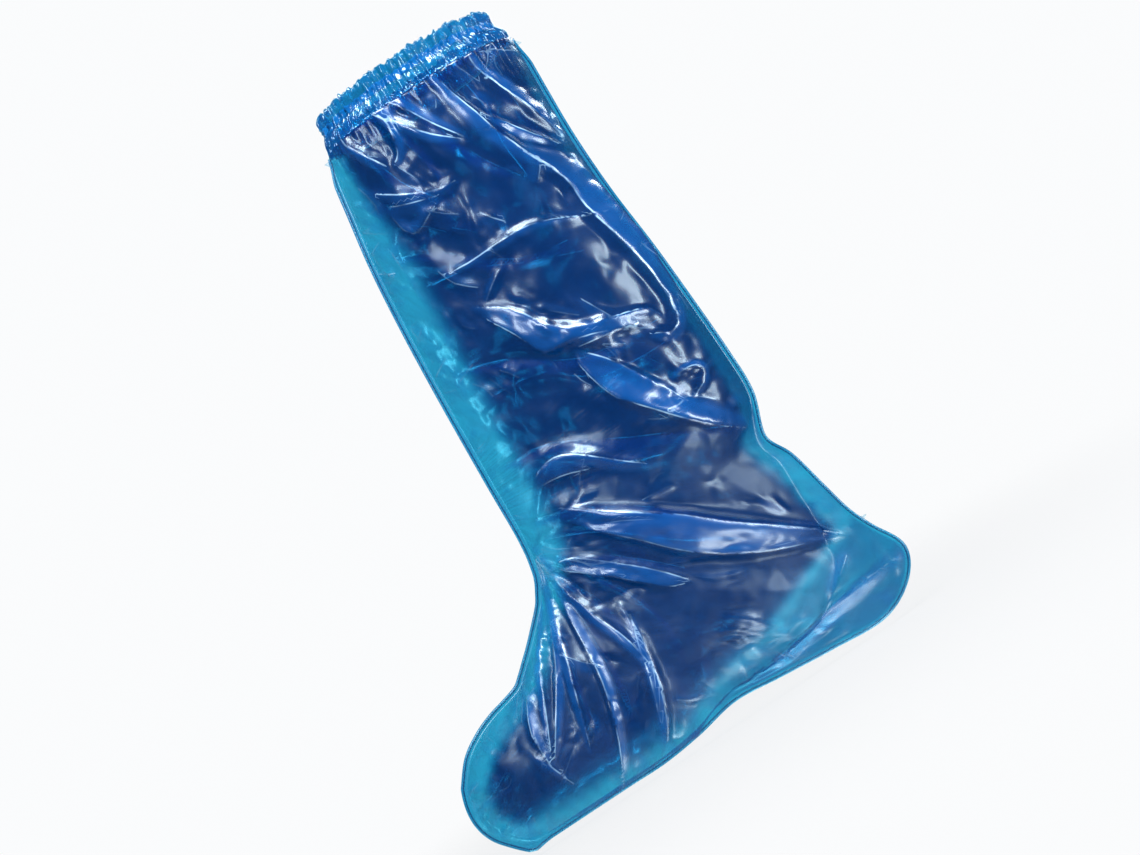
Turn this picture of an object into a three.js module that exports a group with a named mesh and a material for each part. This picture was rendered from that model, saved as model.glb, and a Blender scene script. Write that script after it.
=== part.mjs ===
// A knee-high disposable boot cover of thin film, in the form that it keeps when it is worn.
// Two L-shaped film panels lie side by side and are heat sealed along the shin, the toe, the sole,
// the heel and the calf. The sealed edge stands out as a narrow flat strip. The top edge of the film
// is folded over into a gathered hem with a flat elastic in it.
// Frame: +Z is up, -X points to the toe and -Y to the wearer's left. The origin is the middle of the
// elastic, where the cuff grips the leg. All lengths are in millimetres.
import * as THREE from "three";

// Driving dimensions
const FOOT_LENGTH = 385; // toe edge to heel edge, along X
const COVER_HEIGHT = 541; // sole edge to the top of the cuff, along Z
const LEG_DEPTH = 128; // left to right, where the leg is fullest
const FILM = 1; // wall of a film piece
const GAP = 0.3; // left between neighbouring pieces
const WELD_WIDTH = 5; // the heat-sealed strip, from its root to its edge
const WELD_THICKNESS = 1;
const WELD_LAP = 2; // how far a panel lies on the strip
const HEM_HEIGHT = 27; // the folded hem, from its free edge to the top of the cuff
const CUFF_LENGTH = 150; // front to back at the top of the hem
const CUFF_DEPTH = 130; // left to right at the top of the hem
const GATHERS = 26; // ruffles round the hem
const GATHER_GROUPS = 5; // stretches of the hem where the ruffles are fuller
const GATHER_SLACK = 0.25; // how much flatter the ruffles are between those stretches
const GATHER_HEIGHT = 4; // how far a ruffle stands out at the top of the hem
const GATHER_LIFT = 2; // how far the top edge waves up and down
const ELASTIC_WIDTH = 6;
const ELASTIC_THICKNESS = 1.2;
const ELASTIC_PLAY = 0.5; // between the elastic and the hem on either side
const ELASTIC_DROP = 12; // top of the cuff to the middle of the elastic

// How finely each piece is faceted
const STATIONS = 43; // along a panel, from the hem to the toe
const COLUMNS = 18; // across a panel, from the shin to the calf
const COLUMN_CROWDING = 0.12; // how much closer columns lie near the seams, where the film turns most
const SAMPLES_PER_GATHER = 4;

const PANEL_HEIGHT = COVER_HEIGHT - HEM_HEIGHT;
const ORIGIN_HEIGHT = COVER_HEIGHT - ELASTIC_DROP;
const EDGE_Y = WELD_THICKNESS / 2 + GAP + FILM / 2; // middle of a panel's wall on the strip

// A table as a list of rows with named columns.
const table = (columns, rows) =>
  rows.map((row) => Object.fromEntries(columns.map((column, k) => [column, row[k]])));

// Sections of the cover, from the hem down the leg, round the heel and along the sole to the toe.
// Each is a line from the front seam to the back seam. X places are shares of FOOT_LENGTH from the
// toe edge, Z places are shares of PANEL_HEIGHT from the sole, bow is a share of FOOT_LENGTH and
// depth a share of LEG_DEPTH, to one side. peak is where along the line the section is deepest.
// frontRound and backRound say how round it closes there: 1 is a straight wedge, 2 an ellipse and
// more is blunt. flap is the share of the line, at its back end, where the film lies almost flat.
const SECTION_COLUMNS = [
  "frontX", "frontZ", "backX", "backZ", "bow", "depth", "peak", "frontRound", "backRound", "flap",
];
const SECTIONS = table(SECTION_COLUMNS, [
  // The leg
  [0.476, 1, 0.899, 1, 0, 0.5, 0.5, 2, 2, 0],
  [0.456, 0.915, 0.892, 0.915, 0, 0.5, 0.54, 1.7, 2, 0],
  [0.436, 0.83, 0.887, 0.83, 0, 0.49, 0.58, 1.5, 2, 0],
  [0.421, 0.736, 0.889, 0.736, 0, 0.48, 0.6, 1.35, 2, 0],
  [0.411, 0.651, 0.899, 0.636, 0, 0.47, 0.6, 1.3, 2, 0],
  [0.403, 0.566, 0.904, 0.547, 0, 0.45, 0.6, 1.3, 1.9, 0],
  [0.395, 0.472, 0.907, 0.453, 0, 0.42, 0.58, 1.35, 1.8, 0],
  // The ankle and the heel
  [0.39, 0.4, 0.904, 0.383, 0, 0.39, 0.55, 1.4, 1.7, 0],
  [0.385, 0.364, 0.877, 0.317, 0, 0.37, 0.52, 1.5, 1.5, 0.02],
  [0.38, 0.345, 0.902, 0.27, 0, 0.36, 0.5, 1.6, 1.4, 0.04],
  [0.375, 0.33, 0.919, 0.211, 0, 0.35, 0.5, 1.6, 1.35, 0.07],
  [0.368, 0.317, 0.935, 0.158, 0, 0.34, 0.5, 1.6, 1.3, 0.1],
  [0.358, 0.304, 0.957, 0.119, 0, 0.33, 0.5, 1.6, 1.3, 0.14],
  [0.348, 0.292, 0.987, 0.072, 0, 0.33, 0.5, 1.6, 1.3, 0.18],
  [0.335, 0.281, 0.955, 0.032, 0, 0.33, 0.5, 1.7, 1.35, 0.19],
  [0.32, 0.27, 0.884, 0.008, 0, 0.33, 0.5, 1.8, 1.45, 0.18],
  // The sole and the toe
  [0.302, 0.257, 0.771, 0.013, 0, 0.34, 0.5, 1.9, 1.6, 0.14],
  [0.282, 0.243, 0.662, 0.021, 0, 0.35, 0.52, 2, 2, 0.08],
  [0.262, 0.23, 0.557, 0.028, 0, 0.37, 0.55, 2, 2.5, 0.03],
  [0.242, 0.217, 0.461, 0.015, 0.002, 0.38, 0.6, 2, 3, 0],
  [0.219, 0.204, 0.378, 0.008, 0.004, 0.38, 0.62, 2, 3.2, 0],
  [0.184, 0.196, 0.302, 0.008, 0.007, 0.37, 0.64, 2, 3.2, 0],
  [0.146, 0.189, 0.232, 0.008, 0.012, 0.34, 0.64, 2, 3, 0],
  [0.106, 0.177, 0.176, 0.008, 0.019, 0.28, 0.62, 2, 2.6, 0],
  [0.066, 0.158, 0.126, 0.008, 0.028, 0.18, 0.6, 2, 2.2, 0],
  [0.03, 0.126, 0.081, 0.009, 0.038, 0, 0.55, 2, 2, 0],
]);
const FLAP_LIFT = 0.03; // depth of the nearly flat film at the heel, a share of LEG_DEPTH

// Folds of the film. A fold runs from one place to another, X in shares of FOOT_LENGTH and Z in
// shares of PANEL_HEIGHT. bend is how far its middle is off the straight line, as a share of
// FOOT_LENGTH. width and height are shares of LEG_DEPTH, and a negative height is a dent.
const FOLD_COLUMNS = ["fromX", "fromZ", "toX", "toZ", "bend", "width", "height"];
const LEFT_FOLDS = table(FOLD_COLUMNS, [
  // From the hem down
  [0.52, 1.04, 0.57, 0.86, 0, 0.12, 0.05],
  [0.6, 1.04, 0.73, 0.82, 0.012, 0.12, 0.055],
  [0.72, 1.02, 0.85, 0.76, 0.025, 0.12, 0.055],
  [0.5, 0.88, 0.62, 0.74, 0, 0.14, -0.04],
  // Behind the shin and the calf
  [0.53, 0.7, 0.84, 0.56, 0.05, 0.14, 0.055],
  [0.85, 0.8, 0.88, 0.48, -0.02, 0.14, 0.05],
  [0.63, 0.57, 0.94, 0.31, 0.05, 0.14, 0.06],
  [0.42, 0.46, 0.68, 0.4, -0.02, 0.13, 0.05],
  // From the ankle to the heel
  [0.46, 0.385, 0.95, 0.12, 0, 0.14, 0.065],
  [0.44, 0.33, 0.87, 0.1, 0.012, 0.13, -0.045],
  // Fanned out from the ankle crease over the foot
  [0.36, 0.34, 0.18, 0.07, 0, 0.12, 0.045],
  [0.385, 0.35, 0.3, 0.04, 0, 0.12, 0.045],
  [0.41, 0.35, 0.46, 0.04, 0, 0.13, 0.045],
  // Along the loose film at the heel
  [0.5, 0.035, 0.96, 0.085, 0.005, 0.1, 0.03],
]);
const RIGHT_FOLDS = table(FOLD_COLUMNS, [
  // From the hem down
  [0.54, 1.04, 0.62, 0.84, 0.01, 0.12, 0.05],
  [0.66, 1.04, 0.7, 0.78, 0.02, 0.12, 0.055],
  [0.79, 1.04, 0.84, 0.8, -0.01, 0.12, 0.05],
  // Across the shin and the calf
  [0.45, 0.8, 0.76, 0.71, 0.03, 0.14, 0.05],
  [0.89, 0.8, 0.61, 0.62, -0.03, 0.13, -0.04],
  [0.46, 0.59, 0.88, 0.51, 0.03, 0.14, 0.055],
  [0.42, 0.48, 0.92, 0.34, 0.02, 0.14, 0.06],
  // From the ankle to the heel
  [0.42, 0.38, 0.94, 0.14, 0.01, 0.14, 0.065],
  [0.42, 0.33, 0.74, 0.1, -0.01, 0.13, -0.045],
  // Fanned out from the ankle crease over the foot
  [0.35, 0.33, 0.15, 0.08, 0.01, 0.12, 0.045],
  [0.38, 0.35, 0.27, 0.04, 0, 0.12, 0.045],
  [0.4, 0.35, 0.4, 0.04, 0, 0.13, 0.045],
  // Along the loose film at the heel
  [0.52, 0.035, 0.95, 0.08, 0.008, 0.1, 0.03],
]);
// How deep a panel stands off the seam plane where its folds are at full height, and how far down
// from the hem that is, as a share of LEG_DEPTH and in stations
const FOLD_FADE = { depth: 0.12, stations: 2 };

// Small corners that stick out of the sealed strip: beside the hem, front and back, and at the heel.
// along is the place on the front or back seam, as a share of its length from the hem down. reach and
// spread are multiples of WELD_WIDTH.
const TABS = table(["edge", "along", "reach", "spread"], [
  ["front", 0, 0.8, 1.2],
  ["back", 0.462, 1, 0.8],
  ["back", 0, 0.8, 1.2],
]);

const CUFF_CENTRE = (SECTIONS[0].frontX + SECTIONS[0].backX) / 2;

const mix = (a, b, t) => a + (b - a) * t;
const clamp01 = (t) => Math.min(1, Math.max(0, t));
const ease = (t) => clamp01(t) ** 2 * (3 - 2 * clamp01(t));

// A place in the side view, from shares of FOOT_LENGTH and PANEL_HEIGHT to millimetres.
function place(shareX, shareZ) {
  return new THREE.Vector2(
    (shareX - CUFF_CENTRE) * FOOT_LENGTH,
    shareZ * PANEL_HEIGHT - ORIGIN_HEIGHT,
  );
}

// One column of the section table at row, a number that may lie between two rows.
function sectionValue(column, row) {
  const last = SECTIONS.length - 1;
  const i = Math.min(Math.floor(row), last - 1);
  const t = row - i;
  const at = (k) => SECTIONS[Math.min(Math.max(k, 0), last)][column];
  const startSlope = (at(i + 1) - at(i - 1)) / 2;
  const endSlope = (at(i + 2) - at(i)) / 2;
  return (
    (2 * t ** 3 - 3 * t ** 2 + 1) * at(i) +
    (t ** 3 - 2 * t ** 2 + t) * startSlope +
    (3 * t ** 2 - 2 * t ** 3) * at(i + 1) +
    (t ** 3 - t ** 2) * endSlope
  );
}

// The section at a row, with its two ends in millimetres.
function sectionAt(row) {
  const value = (column) => sectionValue(column, row);
  return {
    front: place(value("frontX"), value("frontZ")),
    back: place(value("backX"), value("backZ")),
    bow: value("bow") * FOOT_LENGTH,
    depth: Math.max(0, value("depth")) * LEG_DEPTH,
    peak: value("peak"),
    frontRound: value("frontRound"),
    backRound: value("backRound"),
    flap: Math.max(0, value("flap")),
  };
}

// The rows of count + 1 stations that lie evenly along the cover.
function stationRows(count) {
  const fine = 20; // steps between two rows of the table
  const marks = Array.from({ length: (SECTIONS.length - 1) * fine + 1 }, (_, k) => {
    const section = sectionAt(k / fine);
    return { row: k / fine, front: section.front, back: section.back, run: 0 };
  });
  for (let k = 1; k < marks.length; k++) {
    const [before, mark] = [marks[k - 1], marks[k]];
    const step = mark.front.distanceTo(before.front) + mark.back.distanceTo(before.back);
    mark.run = before.run + step / 2;
  }
  return Array.from({ length: count + 1 }, (_, n) => {
    const run = (n / count) * marks.at(-1).run;
    const k = Math.max(1, marks.findIndex((mark) => mark.run >= run - 1e-6));
    const [before, mark] = [marks[k - 1], marks[k]];
    return mix(before.row, mark.row, (run - before.run) / (mark.run - before.run));
  });
}

// A point of a section's line in the side view. The line bows towards the toe.
function linePoint(section, across) {
  const chord = section.back.clone().sub(section.front).normalize();
  const bow = 4 * across * (1 - across) * section.bow;
  return section.front
    .clone()
    .lerp(section.back, across)
    .add(new THREE.Vector2(chord.y * bow, -chord.x * bow));
}

// How deep the film lies off the seam plane at a point of a section's line.
function depthAt(section, across) {
  const body = clamp01(across / (1 - section.flap));
  const front = body < section.peak;
  const off = front ? 1 - body / section.peak : (body - section.peak) / (1 - section.peak);
  const round = front ? section.frontRound : section.backRound;
  const full = section.depth * Math.max(0, 1 - off ** round) ** (1 / round);
  const flat = FLAP_LIFT * LEG_DEPTH * Math.sin(Math.PI * across);
  return Math.max(full, flat);
}

// How far the folds move the film at a place in the side view.
function foldsAt(folds, point) {
  let sum = 0;
  for (const fold of folds) {
    const from = place(fold.fromX, fold.fromZ);
    const run = place(fold.toX, fold.toZ).sub(from);
    const length = run.length();
    const offset = point.clone().sub(from);
    const along = offset.dot(run) / length ** 2;
    if (along <= 0 || along >= 1) continue;
    const side = (offset.y * run.x - offset.x * run.y) / length;
    const middle = 4 * along * (1 - along) * fold.bend * FOOT_LENGTH;
    const away = Math.abs(side + middle) / (fold.width * LEG_DEPTH);
    sum += fold.height * LEG_DEPTH * (1 - ease(away)) * Math.sin(Math.PI * along);
  }
  return sum;
}

const rows = stationRows(STATIONS);
// The shares of a section's line at which a panel's columns cross it
const acrosses = Array.from({ length: COLUMNS + 1 }, (_, k) => {
  const t = k / COLUMNS;
  return t - COLUMN_CROWDING * Math.sin(2 * Math.PI * t);
});

// The three stretches of the seam in the side view: down the front, round the toe, and up the back.
function seamEdges() {
  const sections = rows.map(sectionAt);
  return {
    front: sections.map((section) => section.front),
    toe: acrosses.map((across) => linePoint(sections.at(-1), across)),
    back: sections.map((section) => section.back).reverse(),
  };
}

// The outward direction at each point of a stretch of the seam.
function outwardNormals(points) {
  return points.map((_, k) => {
    const before = points[Math.max(k - 1, 0)];
    const after = points[Math.min(k + 1, points.length - 1)];
    const run = after.clone().sub(before).normalize();
    return new THREE.Vector2(run.y, -run.x);
  });
}

const edges = seamEdges();
const outward = {
  front: outwardNormals(edges.front),
  toe: outwardNormals(edges.toe),
  back: outwardNormals(edges.back),
};
// The strip and the panels' edges are cut level at the hem.
outward.front[0].set(-1, 0);
outward.back.at(-1).set(1, 0);

// A stretch of the seam moved outward by a distance.
const movedOut = (edge, distance) =>
  edges[edge].map((point, k) => point.clone().addScaledVector(outward[edge][k], distance));

// The corner between two stretches, moved outward from both by a distance.
function cornerOut(point, normal, nextNormal, distance) {
  const sum = normal.clone().add(nextNormal);
  return point.clone().addScaledVector(sum, distance / (1 + normal.dot(nextNormal)));
}
const toeCornerOut = (distance) =>
  cornerOut(edges.toe[0], outward.front.at(-1), outward.toe[0], distance);
const tipCornerOut = (distance) =>
  cornerOut(edges.back[0], outward.toe.at(-1), outward.back[0], distance);

// A closed geometry from a grid of outer points and the same grid of inner points.
function wallGeometry(outer, inner, turn) {
  const height = outer.length;
  const width = outer[0].length;
  const positions = [...outer.flat(), ...inner.flat()].flatMap((p) => [p.x, p.y, p.z]);
  const index = [];
  const quad = (a, b, c, d) => index.push(...(turn ? [a, c, b, a, d, c] : [a, b, c, a, c, d]));
  const out = (i, j) => i * width + j;
  const inn = (i, j) => height * width + out(i, j);
  for (let i = 0; i + 1 < height; i++)
    for (let j = 0; j + 1 < width; j++) {
      quad(out(i, j), out(i + 1, j), out(i + 1, j + 1), out(i, j + 1));
      quad(inn(i, j), inn(i, j + 1), inn(i + 1, j + 1), inn(i + 1, j));
    }
  for (let j = 0; j + 1 < width; j++) {
    quad(out(0, j), out(0, j + 1), inn(0, j + 1), inn(0, j));
    quad(out(height - 1, j + 1), out(height - 1, j), inn(height - 1, j), inn(height - 1, j + 1));
  }
  for (let i = 0; i + 1 < height; i++) {
    quad(out(i + 1, 0), out(i, 0), inn(i, 0), inn(i + 1, 0));
    quad(out(i, width - 1), out(i + 1, width - 1), inn(i + 1, width - 1), inn(i, width - 1));
  }
  return geometryOf(positions, index);
}

// A geometry from its vertices' coordinates and its triangles' vertex numbers.
function geometryOf(positions, index) {
  const geometry = new THREE.BufferGeometry();
  geometry.setAttribute("position", new THREE.Float32BufferAttribute(positions, 3));
  geometry.setIndex(index);
  geometry.computeVertexNormals();
  return geometry;
}

// The normal of a panel's grid at one of its points, pointing away from the leg.
function gridNormal(grid, i, j, side) {
  const at = (a, b) => {
    const line = grid[Math.min(Math.max(a, 0), grid.length - 1)];
    return line[Math.min(Math.max(b, 0), line.length - 1)];
  };
  const down = at(i + 1, j).clone().sub(at(i - 1, j));
  const across = at(i, j + 1).clone().sub(at(i, j - 1));
  return down.cross(across).normalize().multiplyScalar(-side);
}

// One film panel. side is -1 for the left panel and 1 for the right one. Its edge lies flat on the
// sealed strip, so that the two panels and the strip make one seam.
function panelGeometry(side, folds) {
  const toePoint = rows.length - 1;
  const spread = (point, depth) => new THREE.Vector3(point.x, side * (EDGE_Y + depth), point.y);
  const flat = (points) => points.map((point) => spread(point, 0));
  const frontLap = flat(movedOut("front", WELD_LAP));
  const backLap = flat(movedOut("back", WELD_LAP)).reverse();
  const middle = rows.map((row, i) => {
    const section = sectionAt(row);
    const line = acrosses.map((across, j) => {
      const point = linePoint(section, across);
      if (j === 0 || j === COLUMNS || i === toePoint) return spread(point, 0);
      const depth = depthAt(section, across);
      // Folds fade out towards the seams and the hem.
      const share = ease(depth / (FOLD_FADE.depth * LEG_DEPTH)) * ease(i / FOLD_FADE.stations);
      return spread(point, Math.max(0, depth + share * foldsAt(folds, point)));
    });
    return [frontLap[i], ...line, backLap[i]];
  });
  middle.push([
    spread(toeCornerOut(WELD_LAP), 0),
    ...flat(movedOut("toe", WELD_LAP)),
    spread(tipCornerOut(WELD_LAP), 0),
  ]);
  const moved = (distance) =>
    middle.map((line, i) =>
      line.map((p, j) => p.clone().addScaledVector(gridNormal(middle, i, j, side), distance)),
    );
  const [outer, inner] = [moved(FILM / 2), moved(-FILM / 2)];
  const nearest = WELD_THICKNESS / 2 + GAP;
  inner.flat().forEach((p) => p.setY(side * Math.max(p.y * side, nearest)));
  for (const p of [...outer[0], ...inner[0]]) p.setZ(PANEL_HEIGHT - ORIGIN_HEIGHT - GAP);
  return wallGeometry(outer, inner, side > 0);
}

// The place at a share of the length of a stretch of the seam, with the direction out of it there.
function seamPlace(edge, along) {
  const points = edge === "back" ? edges.back.toReversed() : edges.front;
  const normals = edge === "back" ? outward.back.toReversed() : outward.front;
  const runs = points.map((point, k) => (k ? point.distanceTo(points[k - 1]) : 0));
  let left = along * runs.reduce((sum, run) => sum + run, 0);
  const k = runs.findIndex((run, n) => n > 0 && (left -= run) <= 0);
  const t = 1 + left / runs[k];
  return {
    k: k - 1 + t,
    point: points[k - 1].clone().lerp(points[k], t),
    out: normals[k - 1].clone().lerp(normals[k], t).normalize(),
    step: runs[k],
  };
}

// The outer edge of the sealed strip on the front or the back, with its tabs.
function stripEdge(edge) {
  const plain = movedOut(edge, WELD_WIDTH);
  const fromHem = edge === "back" ? plain.reverse() : plain;
  const points = fromHem.map((point, k) => ({ k, point }));
  for (const tab of TABS.filter((each) => each.edge === edge)) {
    const at = seamPlace(edge, tab.along);
    const reach = (1 + tab.reach) * WELD_WIDTH;
    const tip = { k: at.k + 0.001, point: at.point.clone().addScaledVector(at.out, reach) };
    const share = (tab.spread * WELD_WIDTH) / at.step;
    const foot = (k) => {
      const n = Math.min(Math.floor(k), fromHem.length - 2);
      return { k, point: fromHem[n].clone().lerp(fromHem[n + 1], k - n) };
    };
    if (at.k - share > 0) points.push(foot(at.k - share));
    points.push(tip, foot(at.k + share));
  }
  const [first, ...others] = points.sort((a, b) => a.k - b.k);
  // A tab at the hem takes the place of the strip's first corner.
  const top = others[0].k - first.k < 0.01 ? others : [first, ...others];
  return top.map((each) => each.point);
}

// The heat-sealed strip round the cover, a flat band in the seam plane.
function stripGeometry() {
  const outline = [
    ...stripEdge("front"),
    toeCornerOut(WELD_WIDTH),
    ...movedOut("toe", WELD_WIDTH),
    tipCornerOut(WELD_WIDTH),
    ...stripEdge("back").reverse(),
    ...edges.back.toReversed(),
    ...edges.toe.toReversed().slice(1, -1),
    ...edges.front.toReversed(),
  ];
  outline.forEach((point) => (point.y = Math.min(point.y, PANEL_HEIGHT - ORIGIN_HEIGHT - GAP)));
  const geometry = new THREE.ExtrudeGeometry(new THREE.Shape(outline), {
    depth: WELD_THICKNESS,
    bevelEnabled: false,
  });
  return geometry.rotateX(Math.PI / 2).translate(0, WELD_THICKNESS / 2, 0);
}

// A point of the hem, at an angle round the cuff, a height above the hem's lower edge and a distance
// out from the middle of its outer wall. The ruffles grow from the lower edge to the top.
function hemPoint(angle, height, out) {
  const fullness = 1 - GATHER_SLACK * (1 - Math.cos(GATHER_GROUPS * angle));
  const wave = fullness * Math.cos(GATHERS * angle);
  const share = height / hemTop(angle);
  const length = mix((SECTIONS[0].backX - SECTIONS[0].frontX) * FOOT_LENGTH, CUFF_LENGTH, share) / 2;
  const depth = mix(SECTIONS[0].depth * LEG_DEPTH + EDGE_Y, CUFF_DEPTH / 2, share);
  const [cos, sin] = [Math.cos(angle), Math.sin(angle)];
  const normal = new THREE.Vector2(cos / length, sin / depth).normalize();
  const reach = out + share * wave * (GATHER_HEIGHT / 2);
  return new THREE.Vector3(
    length * cos + normal.x * reach,
    depth * sin + normal.y * reach,
    PANEL_HEIGHT - ORIGIN_HEIGHT + height,
  );
}

// The height of the top edge above the hem's lower edge. It rises and falls with the ruffles.
const hemTop = (angle) =>
  HEM_HEIGHT - (GATHER_LIFT / 2) * (1 - Math.cos((GATHERS / 2) * angle + 1));

// A closed geometry from profiles round the cuff, each a closed loop of points.
function loopGeometry(profiles) {
  const width = profiles[0].length;
  const index = [];
  const at = (i, j) => (i % profiles.length) * width + (j % width);
  for (let i = 0; i < profiles.length; i++)
    for (let j = 0; j < width; j++)
      index.push(at(i, j), at(i + 1, j), at(i + 1, j + 1), at(i, j), at(i + 1, j + 1), at(i, j + 1));
  return geometryOf(profiles.flat().flatMap((p) => [p.x, p.y, p.z]), index);
}

// The heights of the elastic's two edges above the hem's lower edge
const ELASTIC_LOW = HEM_HEIGHT - ELASTIC_DROP - ELASTIC_WIDTH / 2;
const ELASTIC_HIGH = ELASTIC_LOW + ELASTIC_WIDTH;
const CHANNEL = ELASTIC_THICKNESS + 2 * ELASTIC_PLAY; // the space between the hem's two walls
const cuffAngles = Array.from(
  { length: GATHERS * SAMPLES_PER_GATHER },
  (_, k, count = GATHERS * SAMPLES_PER_GATHER) => (2 * Math.PI * k) / count,
);

// The hem: film folded over at the top, with the free edge inside and a channel for the elastic.
function hemGeometry() {
  const outerFace = FILM / 2;
  const innerWall = -FILM / 2 - CHANNEL;
  const freeEdge = FILM; // how far the inner wall ends above the lower edge
  return loopGeometry(
    cuffAngles.map((angle) => {
      const top = hemTop(angle);
      return [
        hemPoint(angle, 0, outerFace),
        hemPoint(angle, top, outerFace),
        hemPoint(angle, top, innerWall - FILM),
        hemPoint(angle, freeEdge, innerWall - FILM),
        hemPoint(angle, freeEdge, innerWall),
        hemPoint(angle, ELASTIC_LOW, innerWall),
        hemPoint(angle, ELASTIC_HIGH, innerWall),
        hemPoint(angle, top - FILM, innerWall),
        hemPoint(angle, top - FILM, -outerFace),
        hemPoint(angle, ELASTIC_HIGH, -outerFace),
        hemPoint(angle, ELASTIC_LOW, -outerFace),
        hemPoint(angle, 0, -outerFace),
      ];
    }),
  );
}

// The flat elastic in the hem's channel.
function elasticGeometry() {
  const outside = -FILM / 2 - ELASTIC_PLAY;
  const inside = outside - ELASTIC_THICKNESS;
  return loopGeometry(
    cuffAngles.map((angle) => [
      hemPoint(angle, ELASTIC_LOW, outside),
      hemPoint(angle, ELASTIC_HIGH, outside),
      hemPoint(angle, ELASTIC_HIGH, inside),
      hemPoint(angle, ELASTIC_LOW, inside),
    ]),
  );
}

// Adds one named piece to the cover.
function addPiece(cover, name, geometry, colour, roughness) {
  const material = new THREE.MeshStandardMaterial({ color: colour, roughness, metalness: 0 });
  const mesh = new THREE.Mesh(geometry, material);
  mesh.name = name;
  cover.add(mesh);
}

const cover = new THREE.Group();
addPiece(cover, "left_panel", panelGeometry(-1, LEFT_FOLDS), 0x1478bc, 0.25);
addPiece(cover, "right_panel", panelGeometry(1, RIGHT_FOLDS), 0x1478bc, 0.25);
addPiece(cover, "sealed_edge", stripGeometry(), 0x0f66a8, 0.3);
addPiece(cover, "cuff_hem", hemGeometry(), 0x2a8fcf, 0.3);
addPiece(cover, "cuff_elastic", elasticGeometry(), 0x9fc6e0, 0.6);

export default cover;
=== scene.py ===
# Dresses the knee-high film boot cover: two thin blue film panels with their folds, the sealed edge
# that joins them, the gathered hem and the elastic inside it. Everything is in metres, in the frame
# of the solids: +Z is up, -X points to the toe, and the origin is the middle of the elastic.
import math

import bpy
import numpy as np
from mathutils import Matrix, Vector
from mathutils.bvhtree import BVHTree
from mathutils.geometry import delaunay_2d_cdt


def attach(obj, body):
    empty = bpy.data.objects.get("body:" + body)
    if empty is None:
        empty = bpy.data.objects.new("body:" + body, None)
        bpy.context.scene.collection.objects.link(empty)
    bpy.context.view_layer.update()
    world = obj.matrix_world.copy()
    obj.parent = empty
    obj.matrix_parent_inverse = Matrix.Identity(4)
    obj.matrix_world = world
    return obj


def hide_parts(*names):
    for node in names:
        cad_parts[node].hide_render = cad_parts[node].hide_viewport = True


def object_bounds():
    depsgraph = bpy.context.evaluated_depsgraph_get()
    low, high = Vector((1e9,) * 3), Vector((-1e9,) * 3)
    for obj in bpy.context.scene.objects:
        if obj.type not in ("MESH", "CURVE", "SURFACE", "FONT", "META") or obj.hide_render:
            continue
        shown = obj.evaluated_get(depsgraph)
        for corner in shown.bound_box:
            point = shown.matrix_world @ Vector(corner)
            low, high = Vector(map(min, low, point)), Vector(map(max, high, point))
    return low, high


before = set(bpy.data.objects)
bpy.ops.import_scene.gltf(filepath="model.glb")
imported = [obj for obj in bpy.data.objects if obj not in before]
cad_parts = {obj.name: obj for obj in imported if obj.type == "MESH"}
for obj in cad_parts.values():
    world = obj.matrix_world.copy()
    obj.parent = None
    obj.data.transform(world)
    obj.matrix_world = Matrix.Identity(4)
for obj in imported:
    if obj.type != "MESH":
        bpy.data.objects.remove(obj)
solid_box = [list(corner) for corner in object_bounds()]

MM = 0.001

# Driving sizes of the cover, as in its solids
FOOT_LENGTH = 385 * MM
COVER_HEIGHT = 541 * MM
LEG_DEPTH = 128 * MM
HEM_HEIGHT = 27 * MM
CUFF_LENGTH = 150 * MM
CUFF_DEPTH = 130 * MM
ELASTIC_DROP = 12 * MM
ELASTIC_WIDTH = 6 * MM
SEAL_WIDTH = 5 * MM
MELT_WIDTH = 2 * MM  # the outer part of the seal, where the film ran together

# Thin things, nearer to the real ones than in the solids
FILM = 0.3 * MM
SEAL_THICKNESS = 0.4 * MM
SEAL_CLEARANCE = 0.05 * MM
BEAD_RADIUS = 0.45 * MM
ELASTIC_THICKNESS = 0.9 * MM

PANEL_HEIGHT = COVER_HEIGHT - HEM_HEIGHT
ORIGIN_HEIGHT = COVER_HEIGHT - ELASTIC_DROP
PANEL_TOP = PANEL_HEIGHT - ORIGIN_HEIGHT
EDGE_Y = SEAL_THICKNESS / 2 + SEAL_CLEARANCE + FILM / 2
FLAP_LIFT = 0.03 * LEG_DEPTH

# How finely a panel is meshed, and how finely its base form is measured for that
STATIONS = 340
COLUMNS = 130
EDGE_STEPS = 3
FINE_ROWS = 1200
FINE_COLUMNS = 400

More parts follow.
